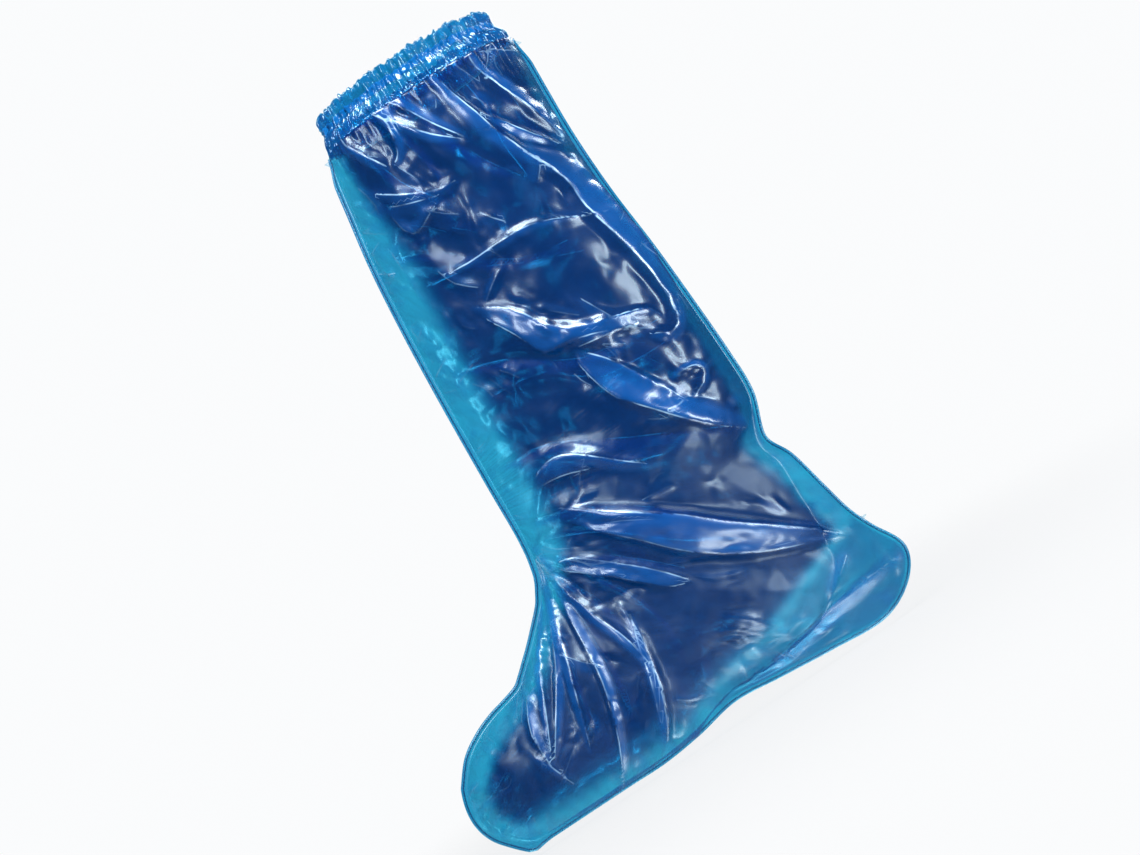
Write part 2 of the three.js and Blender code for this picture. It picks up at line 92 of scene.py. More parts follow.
# Sections of the cover, from the hem down the leg, round the heel and along the sole to the toe.
# X is a share of FOOT_LENGTH from the toe edge and Z a share of PANEL_HEIGHT from the sole.
SECTION_COLUMNS = (
    "front_x", "front_z", "back_x", "back_z", "bow", "depth", "peak", "front_round", "back_round",
    "flap",
)
SECTIONS = np.array([
    # The leg
    (0.476, 1, 0.899, 1, 0, 0.5, 0.5, 2, 2, 0),
    (0.456, 0.915, 0.892, 0.915, 0, 0.5, 0.54, 1.7, 2, 0),
    (0.436, 0.83, 0.887, 0.83, 0, 0.49, 0.58, 1.5, 2, 0),
    (0.421, 0.736, 0.889, 0.736, 0, 0.48, 0.6, 1.35, 2, 0),
    (0.411, 0.651, 0.899, 0.636, 0, 0.47, 0.6, 1.3, 2, 0),
    (0.403, 0.566, 0.904, 0.547, 0, 0.45, 0.6, 1.3, 1.9, 0),
    (0.395, 0.472, 0.907, 0.453, 0, 0.42, 0.58, 1.35, 1.8, 0),
    # The ankle and the heel
    (0.39, 0.4, 0.904, 0.383, 0, 0.39, 0.55, 1.4, 1.7, 0),
    (0.385, 0.364, 0.877, 0.317, 0, 0.37, 0.52, 1.5, 1.5, 0.02),
    (0.38, 0.345, 0.902, 0.27, 0, 0.36, 0.5, 1.6, 1.4, 0.04),
    (0.375, 0.33, 0.919, 0.211, 0, 0.35, 0.5, 1.6, 1.35, 0.07),
    (0.368, 0.317, 0.935, 0.158, 0, 0.34, 0.5, 1.6, 1.3, 0.1),
    (0.358, 0.304, 0.957, 0.119, 0, 0.33, 0.5, 1.6, 1.3, 0.14),
    (0.348, 0.292, 0.987, 0.072, 0, 0.33, 0.5, 1.6, 1.3, 0.18),
    (0.335, 0.281, 0.955, 0.032, 0, 0.33, 0.5, 1.7, 1.35, 0.19),
    (0.32, 0.27, 0.884, 0.008, 0, 0.33, 0.5, 1.8, 1.45, 0.18),
    # The sole and the toe
    (0.302, 0.257, 0.771, 0.013, 0, 0.34, 0.5, 1.9, 1.6, 0.14),
    (0.282, 0.243, 0.662, 0.021, 0, 0.35, 0.52, 2, 2, 0.08),
    (0.262, 0.23, 0.557, 0.028, 0, 0.37, 0.55, 2, 2.5, 0.03),
    (0.242, 0.217, 0.461, 0.015, 0.002, 0.38, 0.6, 2, 3, 0),
    (0.219, 0.204, 0.378, 0.008, 0.004, 0.38, 0.62, 2, 3.2, 0),
    (0.184, 0.196, 0.302, 0.008, 0.007, 0.37, 0.64, 2, 3.2, 0),
    (0.146, 0.189, 0.232, 0.008, 0.012, 0.34, 0.64, 2, 3, 0),
    (0.106, 0.177, 0.176, 0.008, 0.019, 0.28, 0.62, 2, 2.6, 0),
    (0.066, 0.158, 0.126, 0.008, 0.028, 0.18, 0.6, 2, 2.2, 0),
    (0.03, 0.126, 0.081, 0.009, 0.038, 0, 0.55, 2, 2, 0),
])
CUFF_CENTRE = (SECTIONS[0, 0] + SECTIONS[0, 2]) / 2
HEM_SPAN = 0.423 * FOOT_LENGTH  # the leg's length right under the hem

# Broad folds that the solids have too, as shares like the sections. bend is a share of FOOT_LENGTH,
# width and height are shares of LEG_DEPTH.
LEFT_BROAD_FOLDS = [
    (0.52, 1.04, 0.57, 0.86, 0, 0.12, 0.05),
    (0.6, 1.04, 0.73, 0.82, 0.012, 0.12, 0.055),
    (0.72, 1.02, 0.85, 0.76, 0.025, 0.12, 0.055),
    (0.5, 0.88, 0.62, 0.74, 0, 0.14, -0.04),
    (0.53, 0.7, 0.84, 0.56, 0.05, 0.14, 0.055),
    (0.85, 0.8, 0.88, 0.48, -0.02, 0.14, 0.05),
    (0.63, 0.57, 0.94, 0.31, 0.05, 0.14, 0.06),
    (0.42, 0.46, 0.68, 0.4, -0.02, 0.13, 0.05),
    (0.46, 0.385, 0.95, 0.12, 0, 0.14, 0.065),
    (0.44, 0.33, 0.87, 0.1, 0.012, 0.13, -0.045),
    (0.36, 0.34, 0.18, 0.07, 0, 0.12, 0.045),
    (0.385, 0.35, 0.3, 0.04, 0, 0.12, 0.045),
    (0.41, 0.35, 0.46, 0.04, 0, 0.13, 0.045),
    (0.5, 0.035, 0.96, 0.085, 0.005, 0.1, 0.03),
]
RIGHT_BROAD_FOLDS = [
    (0.54, 1.04, 0.62, 0.84, 0.01, 0.12, 0.05),
    (0.66, 1.04, 0.7, 0.78, 0.02, 0.12, 0.055),
    (0.79, 1.04, 0.84, 0.8, -0.01, 0.12, 0.05),
    (0.45, 0.8, 0.76, 0.71, 0.03, 0.14, 0.05),
    (0.89, 0.8, 0.61, 0.62, -0.03, 0.13, -0.04),
    (0.46, 0.59, 0.88, 0.51, 0.03, 0.14, 0.055),
    (0.42, 0.48, 0.92, 0.34, 0.02, 0.14, 0.06),
    (0.42, 0.38, 0.94, 0.14, 0.01, 0.14, 0.065),
    (0.42, 0.33, 0.74, 0.1, -0.01, 0.13, -0.045),
    (0.35, 0.33, 0.15, 0.08, 0.01, 0.12, 0.045),
    (0.38, 0.35, 0.27, 0.04, 0, 0.12, 0.045),
    (0.4, 0.35, 0.4, 0.04, 0, 0.13, 0.045),
    (0.52, 0.035, 0.95, 0.08, 0.008, 0.1, 0.03),
]

# Sharp folds, as (half width, height, lean, path). The crest runs along the path, whose points are
# (from the toe edge, above the sole), all in millimetres. A fold with lean above 0 has its broad flank
# on the path's right, and one with lean below 0 on its left.
LEFT_SHARP_FOLDS = [
    # Under the hem
    (7, 4.5, 0.4, [(200, 526), (204, 508), (211, 493), (219, 475)]),
    (7, 4.5, -0.3, [(226, 533), (231, 516), (235, 501), (229, 481), (219, 475)]),
    (6, 4, 0.3, [(223, 537), (229, 515), (242, 498), (256, 478), (277, 459)]),
    (6, 4, -0.3, [(234, 541), (236, 524), (248, 508), (262, 482), (277, 460)]),
    (8, 5.5, 0.3, [(278, 530), (283, 498), (289, 474), (294, 455), (304, 430), (316, 405)]),
    (6, 4, 0.3, [(291, 473), (304, 457), (317, 440), (331, 423)]),
    (8, 5, -0.4, [(311, 521), (309, 502), (315, 481), (325, 458), (333, 433), (331, 423)]),
    (5, 2.5, 0, [(343, 454), (339, 445), (338, 437)]),
    (6, 2.5, 0, [(267, 533), (277, 525), (290, 520), (298, 511)]),
    (6, 3, 0.5, [(196, 470), (205, 463), (234, 445), (256, 441)]),
    # On the shin and the calf
    (8, 3.5, 0.5, [(198, 456), (217, 447), (238, 439)]),
    (7, 3, -0.5, [(198, 456), (205, 428), (235, 437)]),
    (5, 3, 0.3, [(206, 392), (227, 388), (265, 387), (287, 383), (317, 370)]),
    (5, 2, 0, [(220, 356), (245, 373)]),
    (19, 7, -0.7, [(300, 436), (316, 401), (318, 375), (324, 348), (330, 319), (333, 290), (330, 272)]),
    (7, 4, -0.3, [(334, 290), (331, 273), (322, 266), (308, 274)]),
    (8, 4.5, 0.7, [(210, 362), (236, 343), (253, 318), (275, 303), (303, 295), (318, 289), (326, 277)]),
    (8, 4.5, -0.7, [(214, 352), (230, 325), (240, 303), (262, 300), (297, 286), (313, 281)]),
    (6, 4, 0.4, [(307, 284), (285, 289), (258, 294)]),
    (14, 7, -0.75, [(257, 295), (255, 281), (263, 251), (280, 227), (305, 198), (338, 172)]),
    (7, 4.5, 0.6, [(258, 293), (273, 275), (286, 253), (299, 230), (307, 214)]),
    (6, 4, 0, [(301, 234), (312, 238), (324, 236), (326, 226), (307, 214)]),
    (9, 5, 0.4, [(174, 225), (197, 236), (217, 231), (241, 209), (259, 193)]),
    (6, 3, -0.3, [(176, 224), (200, 222), (222, 214)]),
    # From the ankle to the heel
    (15, 9, 0.5, [(180, 207), (206, 188), (244, 161), (279, 129), (315, 99), (351, 69)]),
    (11, 5, -0.4, [(180, 200), (194, 180), (218, 157), (242, 130), (256, 118), (288, 96), (351, 67)]),
    (8, 4.5, 0.4, [(160, 170), (174, 167), (197, 148), (218, 128), (237, 106)]),
    (7, 4, -0.4, [(160, 165), (186, 144), (206, 125), (222, 111), (237, 106)]),
    # Fanned out from the ankle crease
    (5, 4.5, 0.3, [(149, 186), (133, 147), (98, 86), (78, 49)]),
    (5, 4, -0.3, [(149, 183), (129, 122), (90, 63), (78, 49)]),
    (6, 5, 0.3, [(150, 180), (134, 118), (118, 73), (106, 39)]),
    (6, 5, -0.3, [(152, 180), (147, 126), (142, 80), (128, 38), (111, 7)]),
    (6, 4.5, 0.3, [(148, 182), (162, 128), (175, 91), (177, 62), (169, 39)]),
    (7, 5.5, 0.2, [(184, 124), (183, 91), (175, 58), (163, 29), (147, 9)]),
    (5, 4, -0.2, [(187, 113), (179, 90), (172, 65), (160, 31)]),
    (5, 4, 0.3, [(146, 180), (121, 154), (106, 136), (87, 104)]),
    (6, 4.5, -0.3, [(103, 102), (87, 93), (78, 74), (78, 49)]),
    (5, 3.5, 0.3, [(68, 70), (78, 49), (85, 27)]),
    # In the loose film at the heel
    (9, 3.5, 0.5, [(206, 10), (263, 23), (327, 31), (386, 34)]),
    (8, 3, -0.3, [(312, 34), (331, 46), (347, 58)]),
    (4, 1.2, 0, [(163, 358), (165, 343)]),
    (4, 1.2, 0, [(192, 372), (191, 358)]),
    (4, 1.2, 0, [(171, 320), (193, 327)]),
    (4, 1.2, 0, [(185, 431), (184, 380)]),
]
RIGHT_SHARP_FOLDS = [
    # Under the hem
    (7, 4.5, 0.4, [(206, 530), (214, 500), (226, 470), (246, 440)]),
    (6, 4, -0.3, [(230, 535), (238, 505), (244, 470), (246, 440)]),
    (8, 5, 0.3, [(262, 532), (266, 500), (280, 462), (303, 425)]),
    (6, 4, -0.3, [(300, 528), (303, 495), (300, 460), (303, 425)]),
    (6, 3.5, 0.3, [(326, 520), (322, 480), (328, 440)]),
    # On the shin and the calf
    (8, 4, 0.4, [(178, 430), (215, 415), (262, 380), (312, 368)]),
    (6, 4, -0.3, [(186, 398), (230, 392), (270, 372), (318, 352)]),
    (9, 5, 0.3, [(172, 330), (214, 318), (262, 288), (330, 280)]),
    (6, 4, -0.3, [(180, 300), (226, 296), (270, 268), (332, 262)]),
    (10, 6, 0.4, [(160, 252), (206, 246), (262, 215), (336, 178)]),
    (7, 4, -0.4, [(196, 236), (240, 205), (290, 186)]),
    # From the ankle to the heel
    (13, 8, 0.5, [(158, 206), (206, 190), (258, 150), (300, 112), (350, 84)]),
    (9, 5, -0.4, [(160, 188), (206, 165), (248, 128), (300, 94)]),
    (7, 4, 0.3, [(156, 172), (196, 150), (240, 108)]),
    # Fanned out from the ankle crease
    (5, 4.5, 0.3, [(148, 186), (118, 146), (92, 104), (66, 66)]),
    (5, 4, -0.3, [(149, 183), (126, 128), (98, 76), (84, 44)]),
    (6, 5, 0.3, [(151, 180), (138, 126), (120, 70), (110, 28)]),
    (6, 5, -0.3, [(152, 180), (152, 124), (146, 74), (138, 24)]),
    (6, 4.5, 0.3, [(150, 182), (170, 126), (178, 84), (170, 40)]),
    (5, 4, 0.2, [(160, 176), (192, 120), (204, 78), (198, 40)]),
    # In the loose film at the heel
    (9, 3.5, 0.4, [(210, 12), (268, 20), (330, 32), (384, 44)]),
]

# Flat facets between the folds, as (spacing of their corners, roughness, crease lines, their length),
# and how far past the panel they go on
FACETS = [
    (21 * MM, 0.6 * MM, 170, (20 * MM, 55 * MM)),
    (8 * MM, 0.17 * MM, 1100, (9 * MM, 34 * MM)),
]
FACET_MARGIN = 60 * MM
SPOT_JITTER = 0.42  # how far a facet's corner may lie off its even place, as a share of the spacing
CREASE_SPREAD = 0.42  # radians either side of the film's own pull
CREASE_SAG = 0.08  # how far a crease line bends, as a share of its length

# How a sharp fold tapers, in shares of its width and height
END_WIDTH = 0.15
FLANK_RISE = 2.5
CREST_END = 0.2
NO_CREST = 1.0  # the distance off a crest, in metres, where there is none

# Small folds and puckers at random places: least and greatest half width, height and length
MINOR_FOLDS = 130
MINOR_WIDTH = (4 * MM, 8 * MM)
MINOR_HEIGHT = (0.8 * MM, 2.4 * MM)
MINOR_LENGTH = (18 * MM, 55 * MM)
MINOR_LEAN = 0.6
MINOR_BIAS = 1.5  # above 1, small ones are the more common
SEAL_PUCKERS = 150
PUCKER_WIDTH = (2.2 * MM, 4.5 * MM)
PUCKER_HEIGHT = (0.5 * MM, 1.5 * MM)
PUCKER_LENGTH = (9 * MM, 34 * MM)
PUCKER_LEAN = 0.5
PUCKER_SPREAD = 0.4

BROAD_SHARE = 0.65  # how much of the solids' soft folds is left beside the sharp ones
# Slow waves in the film: (wavelength, height, direction and phase in radians)
SOFT_WAVES = [
    (88 * MM, 0.8 * MM, 0.5, 0.3),
    (57 * MM, 0.5 * MM, 2.2, 1.9),
    (37 * MM, 0.25 * MM, 1.1, 4.4),
]
WAVE_BEND = 1.4
WAVE_BEND_RATE = 38
SIDE_SHIFT = 0.4  # sets the two panels' waves apart
# How the whole cover leans off its middle plane: (height, radians per metre in X and in Z, phase)
SWAYS = [(1.3 * MM, 27, 15, 0.5), (0.8 * MM, -19, 41, 0)]
SWAY_START = 70 * MM  # below the hem

# Folds near the seam
SEAM_RELIEF = (1.6 * MM, 14 * MM)  # how tall a fold may get at the seam and away from it
SEAM_RELIEF_RUN = 26 * MM
SEAM_FADE = 5 * MM
SEAM_TURN = 28 * MM  # up to there a fold rises straight off the seam plane

# Below this line, from the heel's corner to the middle of the sole, the two films lie flat together
HEEL_CREASE = [(372, 92), (353, 73), (309, 57), (264, 41), (205, 30), (170, 12)]
# Where the film is pinched, as (from the toe edge, above the sole). The film is pulled out of it on
# the foot, and down the leg above it.
ANKLE_CREASE = (147 * MM, 183 * MM)
LEG_PULL = (0.45, -0.89)
FOOT_TOP = 190 * MM  # above the sole
PULL_CHANGE = 90 * MM
FAN_WIDTH = 80 * MM  # what a radian round the pinched place counts as, across the pull

# How strongly a crest shows a painted highlight, as a pale line along it
HIGHLIGHT_LINE_WIDTH = 2 * MM
FULL_HIGHLIGHT_LINE = 4 * MM  # the height of a fold with the strongest line
FULL_FLANK = 5 * MM  # the height of a fold with the palest flank
FOOT_HIGHLIGHT_LINE = 0.6  # how much of it is left on the foot

# Where the film bags out and looks deep, and where it lies on the other film and is clearer
FLAT_MARGIN = 5 * MM
FOOT_MARGIN = 5  # millimetres more on the foot
SHIN_MARGIN = 12  # millimetres more down the shin
HEM_MARGIN_SHARE = 0.3
HEM_MARGIN_RUN = 110 * MM
FOOT_BLEND = 40 * MM
BEHIND_BAGGED = 0.55
FLAP_BAGGED = 0.25
FLAP_START = 190 * MM  # from the toe edge
FLAP_BLEND = 8 * MM
FOOT_SHARE = 0.2  # what counts as the foot there
CREASE_BLEND = (2 * MM, 12 * MM)  # below the heel's crease, and the run over which the film bags out
# Where the film is dull: low down, away from its creases, and in the loose film at the heel
DULL_TOP = 230 * MM  # above the sole
DULL_BLEND = 50 * MM
DULL_AT_CREST = 0.35
DULL_FROM_CREST = (4 * MM, 12 * MM)
FLAP_DULL = 0.85

# Gathers that the elastic draws in: (count round the cuff, height, phase), and how unevenly they
# lie: (radians, count round the cuff, share of the phase)
GATHERS = [(19, 0.6 * MM, 0.4), (29, 0.8 * MM, 2.1), (43, 0.9 * MM, 4.0)]
FINE_GATHERS = [(61, 0.9 * MM, 1.3), (89, 0.6 * MM, 5.2), (127, 0.4 * MM, 0.9)]
FINE_GATHER_FOOT = (0.6, 8 * MM)  # their share at the hem's foot, and the height where they are full
GATHER_WANDER = [(0.5, 5, 1), (0.35, 11, 2)]
GATHER_REACH = 42 * MM  # how far the gathers run on down the panels
TIGHT_GATHERS = [(151, 0.55 * MM, 2), (113, 0.5 * MM, 1)]  # where the hem is sealed to the panels
TIGHT_PLACE = 2.5 * MM
TIGHT_REACH = 2 * MM
TIGHT_PULL = 0.5 * MM
TOP_GATHERS = [(47, 0.5, 2), (83, 0.5, 4)]  # in the top edge, which waves up and down
TOP_RISE = 0.05
TOP_WAVE = (0.03, 13, 1)

# The hem
HEM_COLUMNS = 760
HEM_CHANNEL = 2.4 * MM  # between its outer and its inner film
HEM_INSIDE_LOW = 1 * MM
HEM_ROWS = (22, 8, 16)  # up outside, over the top and down inside
BAND_ROWS = 5
WAIST = 2.4  # millimetres by which the elastic draws the cuff in
WAIST_REACH = 5 * MM
CRUMPLE_LINES = 360
CRUMPLE_LENGTH = (3, 9)  # half of it, in millimetres
CRUMPLE_SPREAD = 0.35
CRUMPLE_SPACING = 5 * MM
CRUMPLE_HEIGHT = 0.8 * MM
CRUMPLE_OVERLAP = 20 * MM  # where the crumples' end blends into their start
CRUMPLE_MARGIN = 4 * MM  # how far past the hem a crumple may lie
CRUMPLE_FOOT = (0.15, 3 * MM)  # their share at the hem's foot, and the height where they are full

# Stray corners of film that stick out of the sealed edge: (edge, way along it from the hem, reach,
# width), in millimetres
TABS = [("front", 3, 4, 5), ("back", 3, 4, 5), ("back", 449, 4.5, 4)]
TAB_ROOT = 0.1  # the share of its reach that is sunk in the seal
TAB_LEAN = 0.3  # how far its tip leans along the seal, as a share of its width
TAB_FACES = [(0, 1, 2), (5, 4, 3), (0, 3, 4, 1), (1, 4, 5, 2), (2, 5, 3, 0)]
# The seal's own corner under the toe: (from the toe edge, above the sole), reach and spread, in
# millimetres, and how pointed it is
TOE_CORNER = ((28, 5), 3, 18)
TOE_POINT = 1.5
UNDER_HEM = (0.3, 24 * MM)  # the seal's width right under the hem, as a share, and where it is full

rng = np.random.default_rng(11)


def mix(a, b, t):
    return a + (b - a) * t


def ease(t):
    t = np.clip(t, 0, 1)
    return t * t * (3 - 2 * t)


def unit(vectors):
    return vectors / np.linalg.norm(vectors, axis=-1, keepdims=True)


def run_along(path):
    """How far along a path each of its points is."""
    return np.concatenate([[0], np.cumsum(np.linalg.norm(np.diff(path, axis=0), axis=1))])


def to_frame_x(from_toe):
    """X of a place that far from the toe edge."""
    return from_toe - CUFF_CENTRE * FOOT_LENGTH


def to_frame_z(above_sole):
    """Z of a place that high above the sole."""
    return above_sole - ORIGIN_HEIGHT


def to_frame_path(path):
    """A path whose points are given in millimetres from the toe edge and above the sole."""
    return np.array([(to_frame_x(a * MM), to_frame_z(b * MM)) for a, b in path])


# The cover's base form

def section_value(column, rows):
    """A column of the section table at rows that may lie between two of its own."""
    values = SECTIONS[:, SECTION_COLUMNS.index(column)]
    last = len(values) - 1
    i = np.minimum(np.floor(rows).astype(int), last - 1)
    t = rows - i
    before, start = values[np.maximum(i - 1, 0)], values[i]
    end, after = values[i + 1], values[np.minimum(i + 2, last)]
    return (
        (2 * t**3 - 3 * t**2 + 1) * start
        + (t**3 - 2 * t**2 + t) * (end - before) / 2
        + (3 * t**2 - 2 * t**3) * end
        + (t**3 - t**2) * (after - start) / 2
    )


def seam_points(rows):
    """The front and the back seam at these rows, as X and Z columns."""
    ends = []
    for side in ("front", "back"):
        x = to_frame_x(section_value(side + "_x", rows) * FOOT_LENGTH)
        z = to_frame_z(section_value(side + "_z", rows) * PANEL_HEIGHT)
        ends.append(np.stack([x, z], axis=1))
    return ends


def station_rows():
    """Rows that lie evenly along the cover, from the hem to the toe."""
    fine = np.linspace(0, len(SECTIONS) - 1, FINE_ROWS)
    front, back = seam_points(fine)
    steps = np.linalg.norm(np.diff(front, axis=0), axis=1)
    steps = steps + np.linalg.norm(np.diff(back, axis=0), axis=1)
    run = np.concatenate([[0], np.cumsum(steps)])
    return np.interp(np.linspace(0, run[-1], STATIONS + 1), run, fine)


def film_surface(rows, across):
    """X, depth off the seam plane and Z of the film, for rows and shares of the section lines."""
    front, back = seam_points(rows)
    chord = unit(back - front)
    bow = 4 * across * (1 - across) * section_value("bow", rows)[:, None] * FOOT_LENGTH
    x = mix(front[:, :1], back[:, :1], across) + chord[:, 1:] * bow
    z = mix(front[:, 1:], back[:, 1:], across) - chord[:, :1] * bow
    flap = np.maximum(0, section_value("flap", rows))[:, None]
    peak = section_value("peak", rows)[:, None]
    body = np.clip(across / (1 - flap), 0, 1)
    in_front = body < peak
    off = np.where(in_front, 1 - body / peak, (body - peak) / (1 - peak))
    roundness = np.where(
        in_front,
        section_value("front_round", rows)[:, None],
        section_value("back_round", rows)[:, None],
    )
    depth = np.maximum(0, section_value("depth", rows))[:, None] * LEG_DEPTH
    full = depth * np.maximum(0, 1 - off**roundness) ** (1 / roundness)
    return x, np.maximum(full, FLAP_LIFT * np.sin(np.pi * across)), z


def even_columns(rows):
    """Shares of the section lines at which the film's columns lie evenly spaced."""
    fine = (1 - np.cos(np.linspace(0, np.pi, FINE_COLUMNS))) / 2
    fine = np.broadcast_to(fine, (len(rows), fine.size))
    x, depth, z = film_surface(rows, fine)
    steps = np.sqrt(np.diff(x) ** 2 + np.diff(depth) ** 2 + np.diff(z) ** 2)
    run = np.concatenate([np.zeros((len(rows), 1)), np.cumsum(steps, axis=1)], axis=1)
    return np.array([
        np.interp(np.linspace(0, line[-1], COLUMNS + 1), line, shares)
        for line, shares in zip(run, fine)
    ])


# Folds, as distances that the film moves off its base form

def smooth_path(points, steps):
    """A path through the points that turns smoothly at each."""
    points = np.array(points, float)
    padded = np.vstack([2 * points[0] - points[1], points, 2 * points[-1] - points[-2]])
    path = []
    for k in range(1, len(padded) - 2):
        a, b, c, d = padded[k - 1:k + 3]
        for t in np.arange(steps) / steps:
            path.append(0.5 * (
                2 * b + (c - a) * t + (2 * a - 5 * b + 4 * c - d) * t**2
                + (3 * b - a - 3 * c + d) * t**3
            ))
    return np.array(path + [points[-1]])


def beside_path(x, z, path):
    """How far each place is off the path, positive on its left, and how far along it is, 0 to 1."""
    lengths = np.linalg.norm(np.diff(path, axis=0), axis=1)
    starts = np.concatenate([[0], np.cumsum(lengths)])
    nearest = np.full(x.shape, np.inf)
    side = np.zeros(x.shape)
    along = np.zeros(x.shape)
    for start, end, length, run in zip(path[:-1], path[1:], lengths, starts):
        direction = (end - start) / length
        dx, dz = x - start[0], z - start[1]
        t = dx * direction[0] + dz * direction[1]
        left = dz * direction[0] - dx * direction[1]
        over = np.maximum(0, np.maximum(-t, t - length))
        distance = np.hypot(left, over)
        closer = distance < nearest
        nearest = np.where(closer, distance, nearest)
        side = np.where(closer, np.sign(left) * distance, side)
        along = np.where(closer, (run + np.clip(t, 0, length)) / starts[-1], along)
    return side, along


def fold_shape(places, fold):
    """How far a fold rises at places, as a share of its height, the same on its broad flank alone, and
    how far each is off its crest."""
    width, _, lean, path = fold
    rise, flank = np.zeros(len(places)), np.zeros(len(places))
    off_crest = np.full(len(places), NO_CREST)
    room = width * (1 + abs(lean))
    near = np.all((places > path.min(axis=0) - room) & (places < path.max(axis=0) + room), axis=1)
    if near.any():
        side, along = beside_path(places[near, 0], places[near, 1], path)
        taper = np.sqrt(np.maximum(0, np.sin(np.pi * along)))
        reach = width * np.maximum(END_WIDTH, taper)
        off = side / reach + lean
        tent = np.clip(np.minimum((1 + off) / (1 + lean), (1 - off) / (1 - lean)), 0, 1)
        on_flank = side < 0 if lean > 0 else side > 0
        rise[near] = tent * taper
        flank[near] = np.where(on_flank, np.minimum(1, FLANK_RISE * tent) * taper, 0)
        off_crest[near] = np.where(tent * taper > CREST_END, side, NO_CREST)
    return rise, flank, off_crest


def fold_lines(fold):
    """The two feet and the crest of a fold, as lines that meet at its ends."""
    width, _, lean, path = fold
    run = unit(np.gradient(path, axis=0))
    left = np.stack([-run[:, 1], run[:, 0]], axis=1)
    lengths = run_along(path)
    reach = width * np.sqrt(np.maximum(0, np.sin(np.pi * lengths / lengths[-1])))
    reach[[0, -1]] = 0
    return [path + left * (reach * share)[:, None] for share in (-1 - lean, 0, 1 - lean)]


def pulled_flat(places, spots, lines, height_at):
    """The height of film that is pulled flat between spots and along crease lines."""
    corners = [spots]
    edges = []
    count = len(spots)
    for line in lines:
        edges += [(count + k, count + k + 1) for k in range(len(line) - 1)]
        corners.append(line)
        count += len(line)
    flat = [Vector(corner) for corner in np.vstack(corners)]
    flat, _, triangles, *_ = delaunay_2d_cdt(flat, edges, [], 0, 1e-6)
    heights = height_at(np.array([tuple(corner) for corner in flat]))
    film = BVHTree.FromPolygons([(c.x, h, c.y) for c, h in zip(flat, heights)], triangles)
    down = Vector((0, -1, 0))
    found = np.zeros(len(places))
    for k, (a, b) in enumerate(places):
        hit = film.ray_cast(Vector((a, 1, b)), down)[0]
        if hit is None:
            hit = film.ray_cast(Vector((a + 1e-5, 1, b + 1e-5)), down)[0]
        found[k] = hit.y
    return found


def scattered(low, high, spacing):
    """Spots that lie about evenly over a rectangle."""
    xs = np.arange(low[0], high[0], spacing)
    zs = np.arange(low[1], high[1], spacing)
    grid = np.stack(np.meshgrid(xs, zs, indexing="ij"), axis=-1).reshape(-1, 2)
    return grid + rng.uniform(-SPOT_JITTER, SPOT_JITTER, grid.shape) * spacing


def add_broad_fold(field, x, z, fold):
    """Adds one of the soft folds that the solids have too."""
    from_x, from_z, to_x, to_z, bend, width, height = fold
    start = np.array([to_frame_x(from_x * FOOT_LENGTH), to_frame_z(from_z * PANEL_HEIGHT)])
    end = np.array([to_frame_x(to_x * FOOT_LENGTH), to_frame_z(to_z * PANEL_HEIGHT)])
    run = end - start
    length = np.linalg.norm(run)
    dx, dz = x - start[0], z - start[1]
    along = (dx * run[0] + dz * run[1]) / length**2
    side = (dz * run[0] - dx * run[1]) / length
    middle = 4 * along * (1 - along) * bend * FOOT_LENGTH
    rise = 1 - ease(np.abs(side + middle) / (width * LEG_DEPTH))
    inside = (along > 0) & (along < 1)
    field += np.where(inside, height * LEG_DEPTH * rise * np.sin(np.pi * np.clip(along, 0, 1)), 0)


def film_pull(x, z):
    """The direction in which the film is pulled at a place: out of the ankle crease, or down the leg."""
    out = np.array([x - to_frame_x(ANKLE_CREASE[0]), z - to_frame_z(ANKLE_CREASE[1])])
    out = out / max(np.linalg.norm(out), MM)
    down = np.array(LEG_PULL)
    if out @ down < 0:
        out = -out
    share = ease((z - to_frame_z(FOOT_TOP)) / PULL_CHANGE)
    pull = mix(out, down, share)
    return pull / np.linalg.norm(pull)


def pull_coordinates(x, z):
    """How far each place is across and along the film's pull."""
    out_x, out_z = x - to_frame_x(ANKLE_CREASE[0]), z - to_frame_z(ANKLE_CREASE[1])
    on_foot = np.stack([np.arctan2(out_x, -out_z) * FAN_WIDTH, np.hypot(out_x, out_z)], axis=1)
    across, along = -LEG_PULL[1] * x + LEG_PULL[0] * z, LEG_PULL[0] * x + LEG_PULL[1] * z
    on_leg = np.stack([across, along], axis=1)
    share = ease((z - to_frame_z(FOOT_TOP)) / PULL_CHANGE)[:, None]
    return mix(on_foot, on_leg, share)


def rotated(way, turn):
    """A direction in the side view, turned by that many radians."""
    return np.array([
        way[0] * math.cos(turn) - way[1] * math.sin(turn),
        way[0] * math.sin(turn) + way[1] * math.cos(turn),
    ])


def crease_paths(places, count, lengths):
    """Short paths at random places, more or less along the film's pull."""
    paths = []
    for k in rng.integers(0, len(places), count):
        way = rotated(film_pull(*places[k]), rng.normal(0, CREASE_SPREAD))
        length = mix(*lengths, rng.random() ** 2)
        sag = np.array([-way[1], way[0]]) * length * rng.normal(0, CREASE_SAG)
        ends = [places[k] - way * length / 2, places[k] + sag, places[k] + way * length / 2]
        paths.append(np.array(ends))
    return paths


def minor_folds(places):
    """Small folds at random places, up and down."""
    folds = []
    for path in crease_paths(places, MINOR_FOLDS, MINOR_LENGTH):
        size = rng.random() ** MINOR_BIAS
        height = mix(*MINOR_HEIGHT, size) * rng.choice([1, 1, -1])
        lean = rng.uniform(-MINOR_LEAN, MINOR_LEAN)
        folds.append((mix(*MINOR_WIDTH, size), height, lean, smooth_path(path, 2)))
    return folds


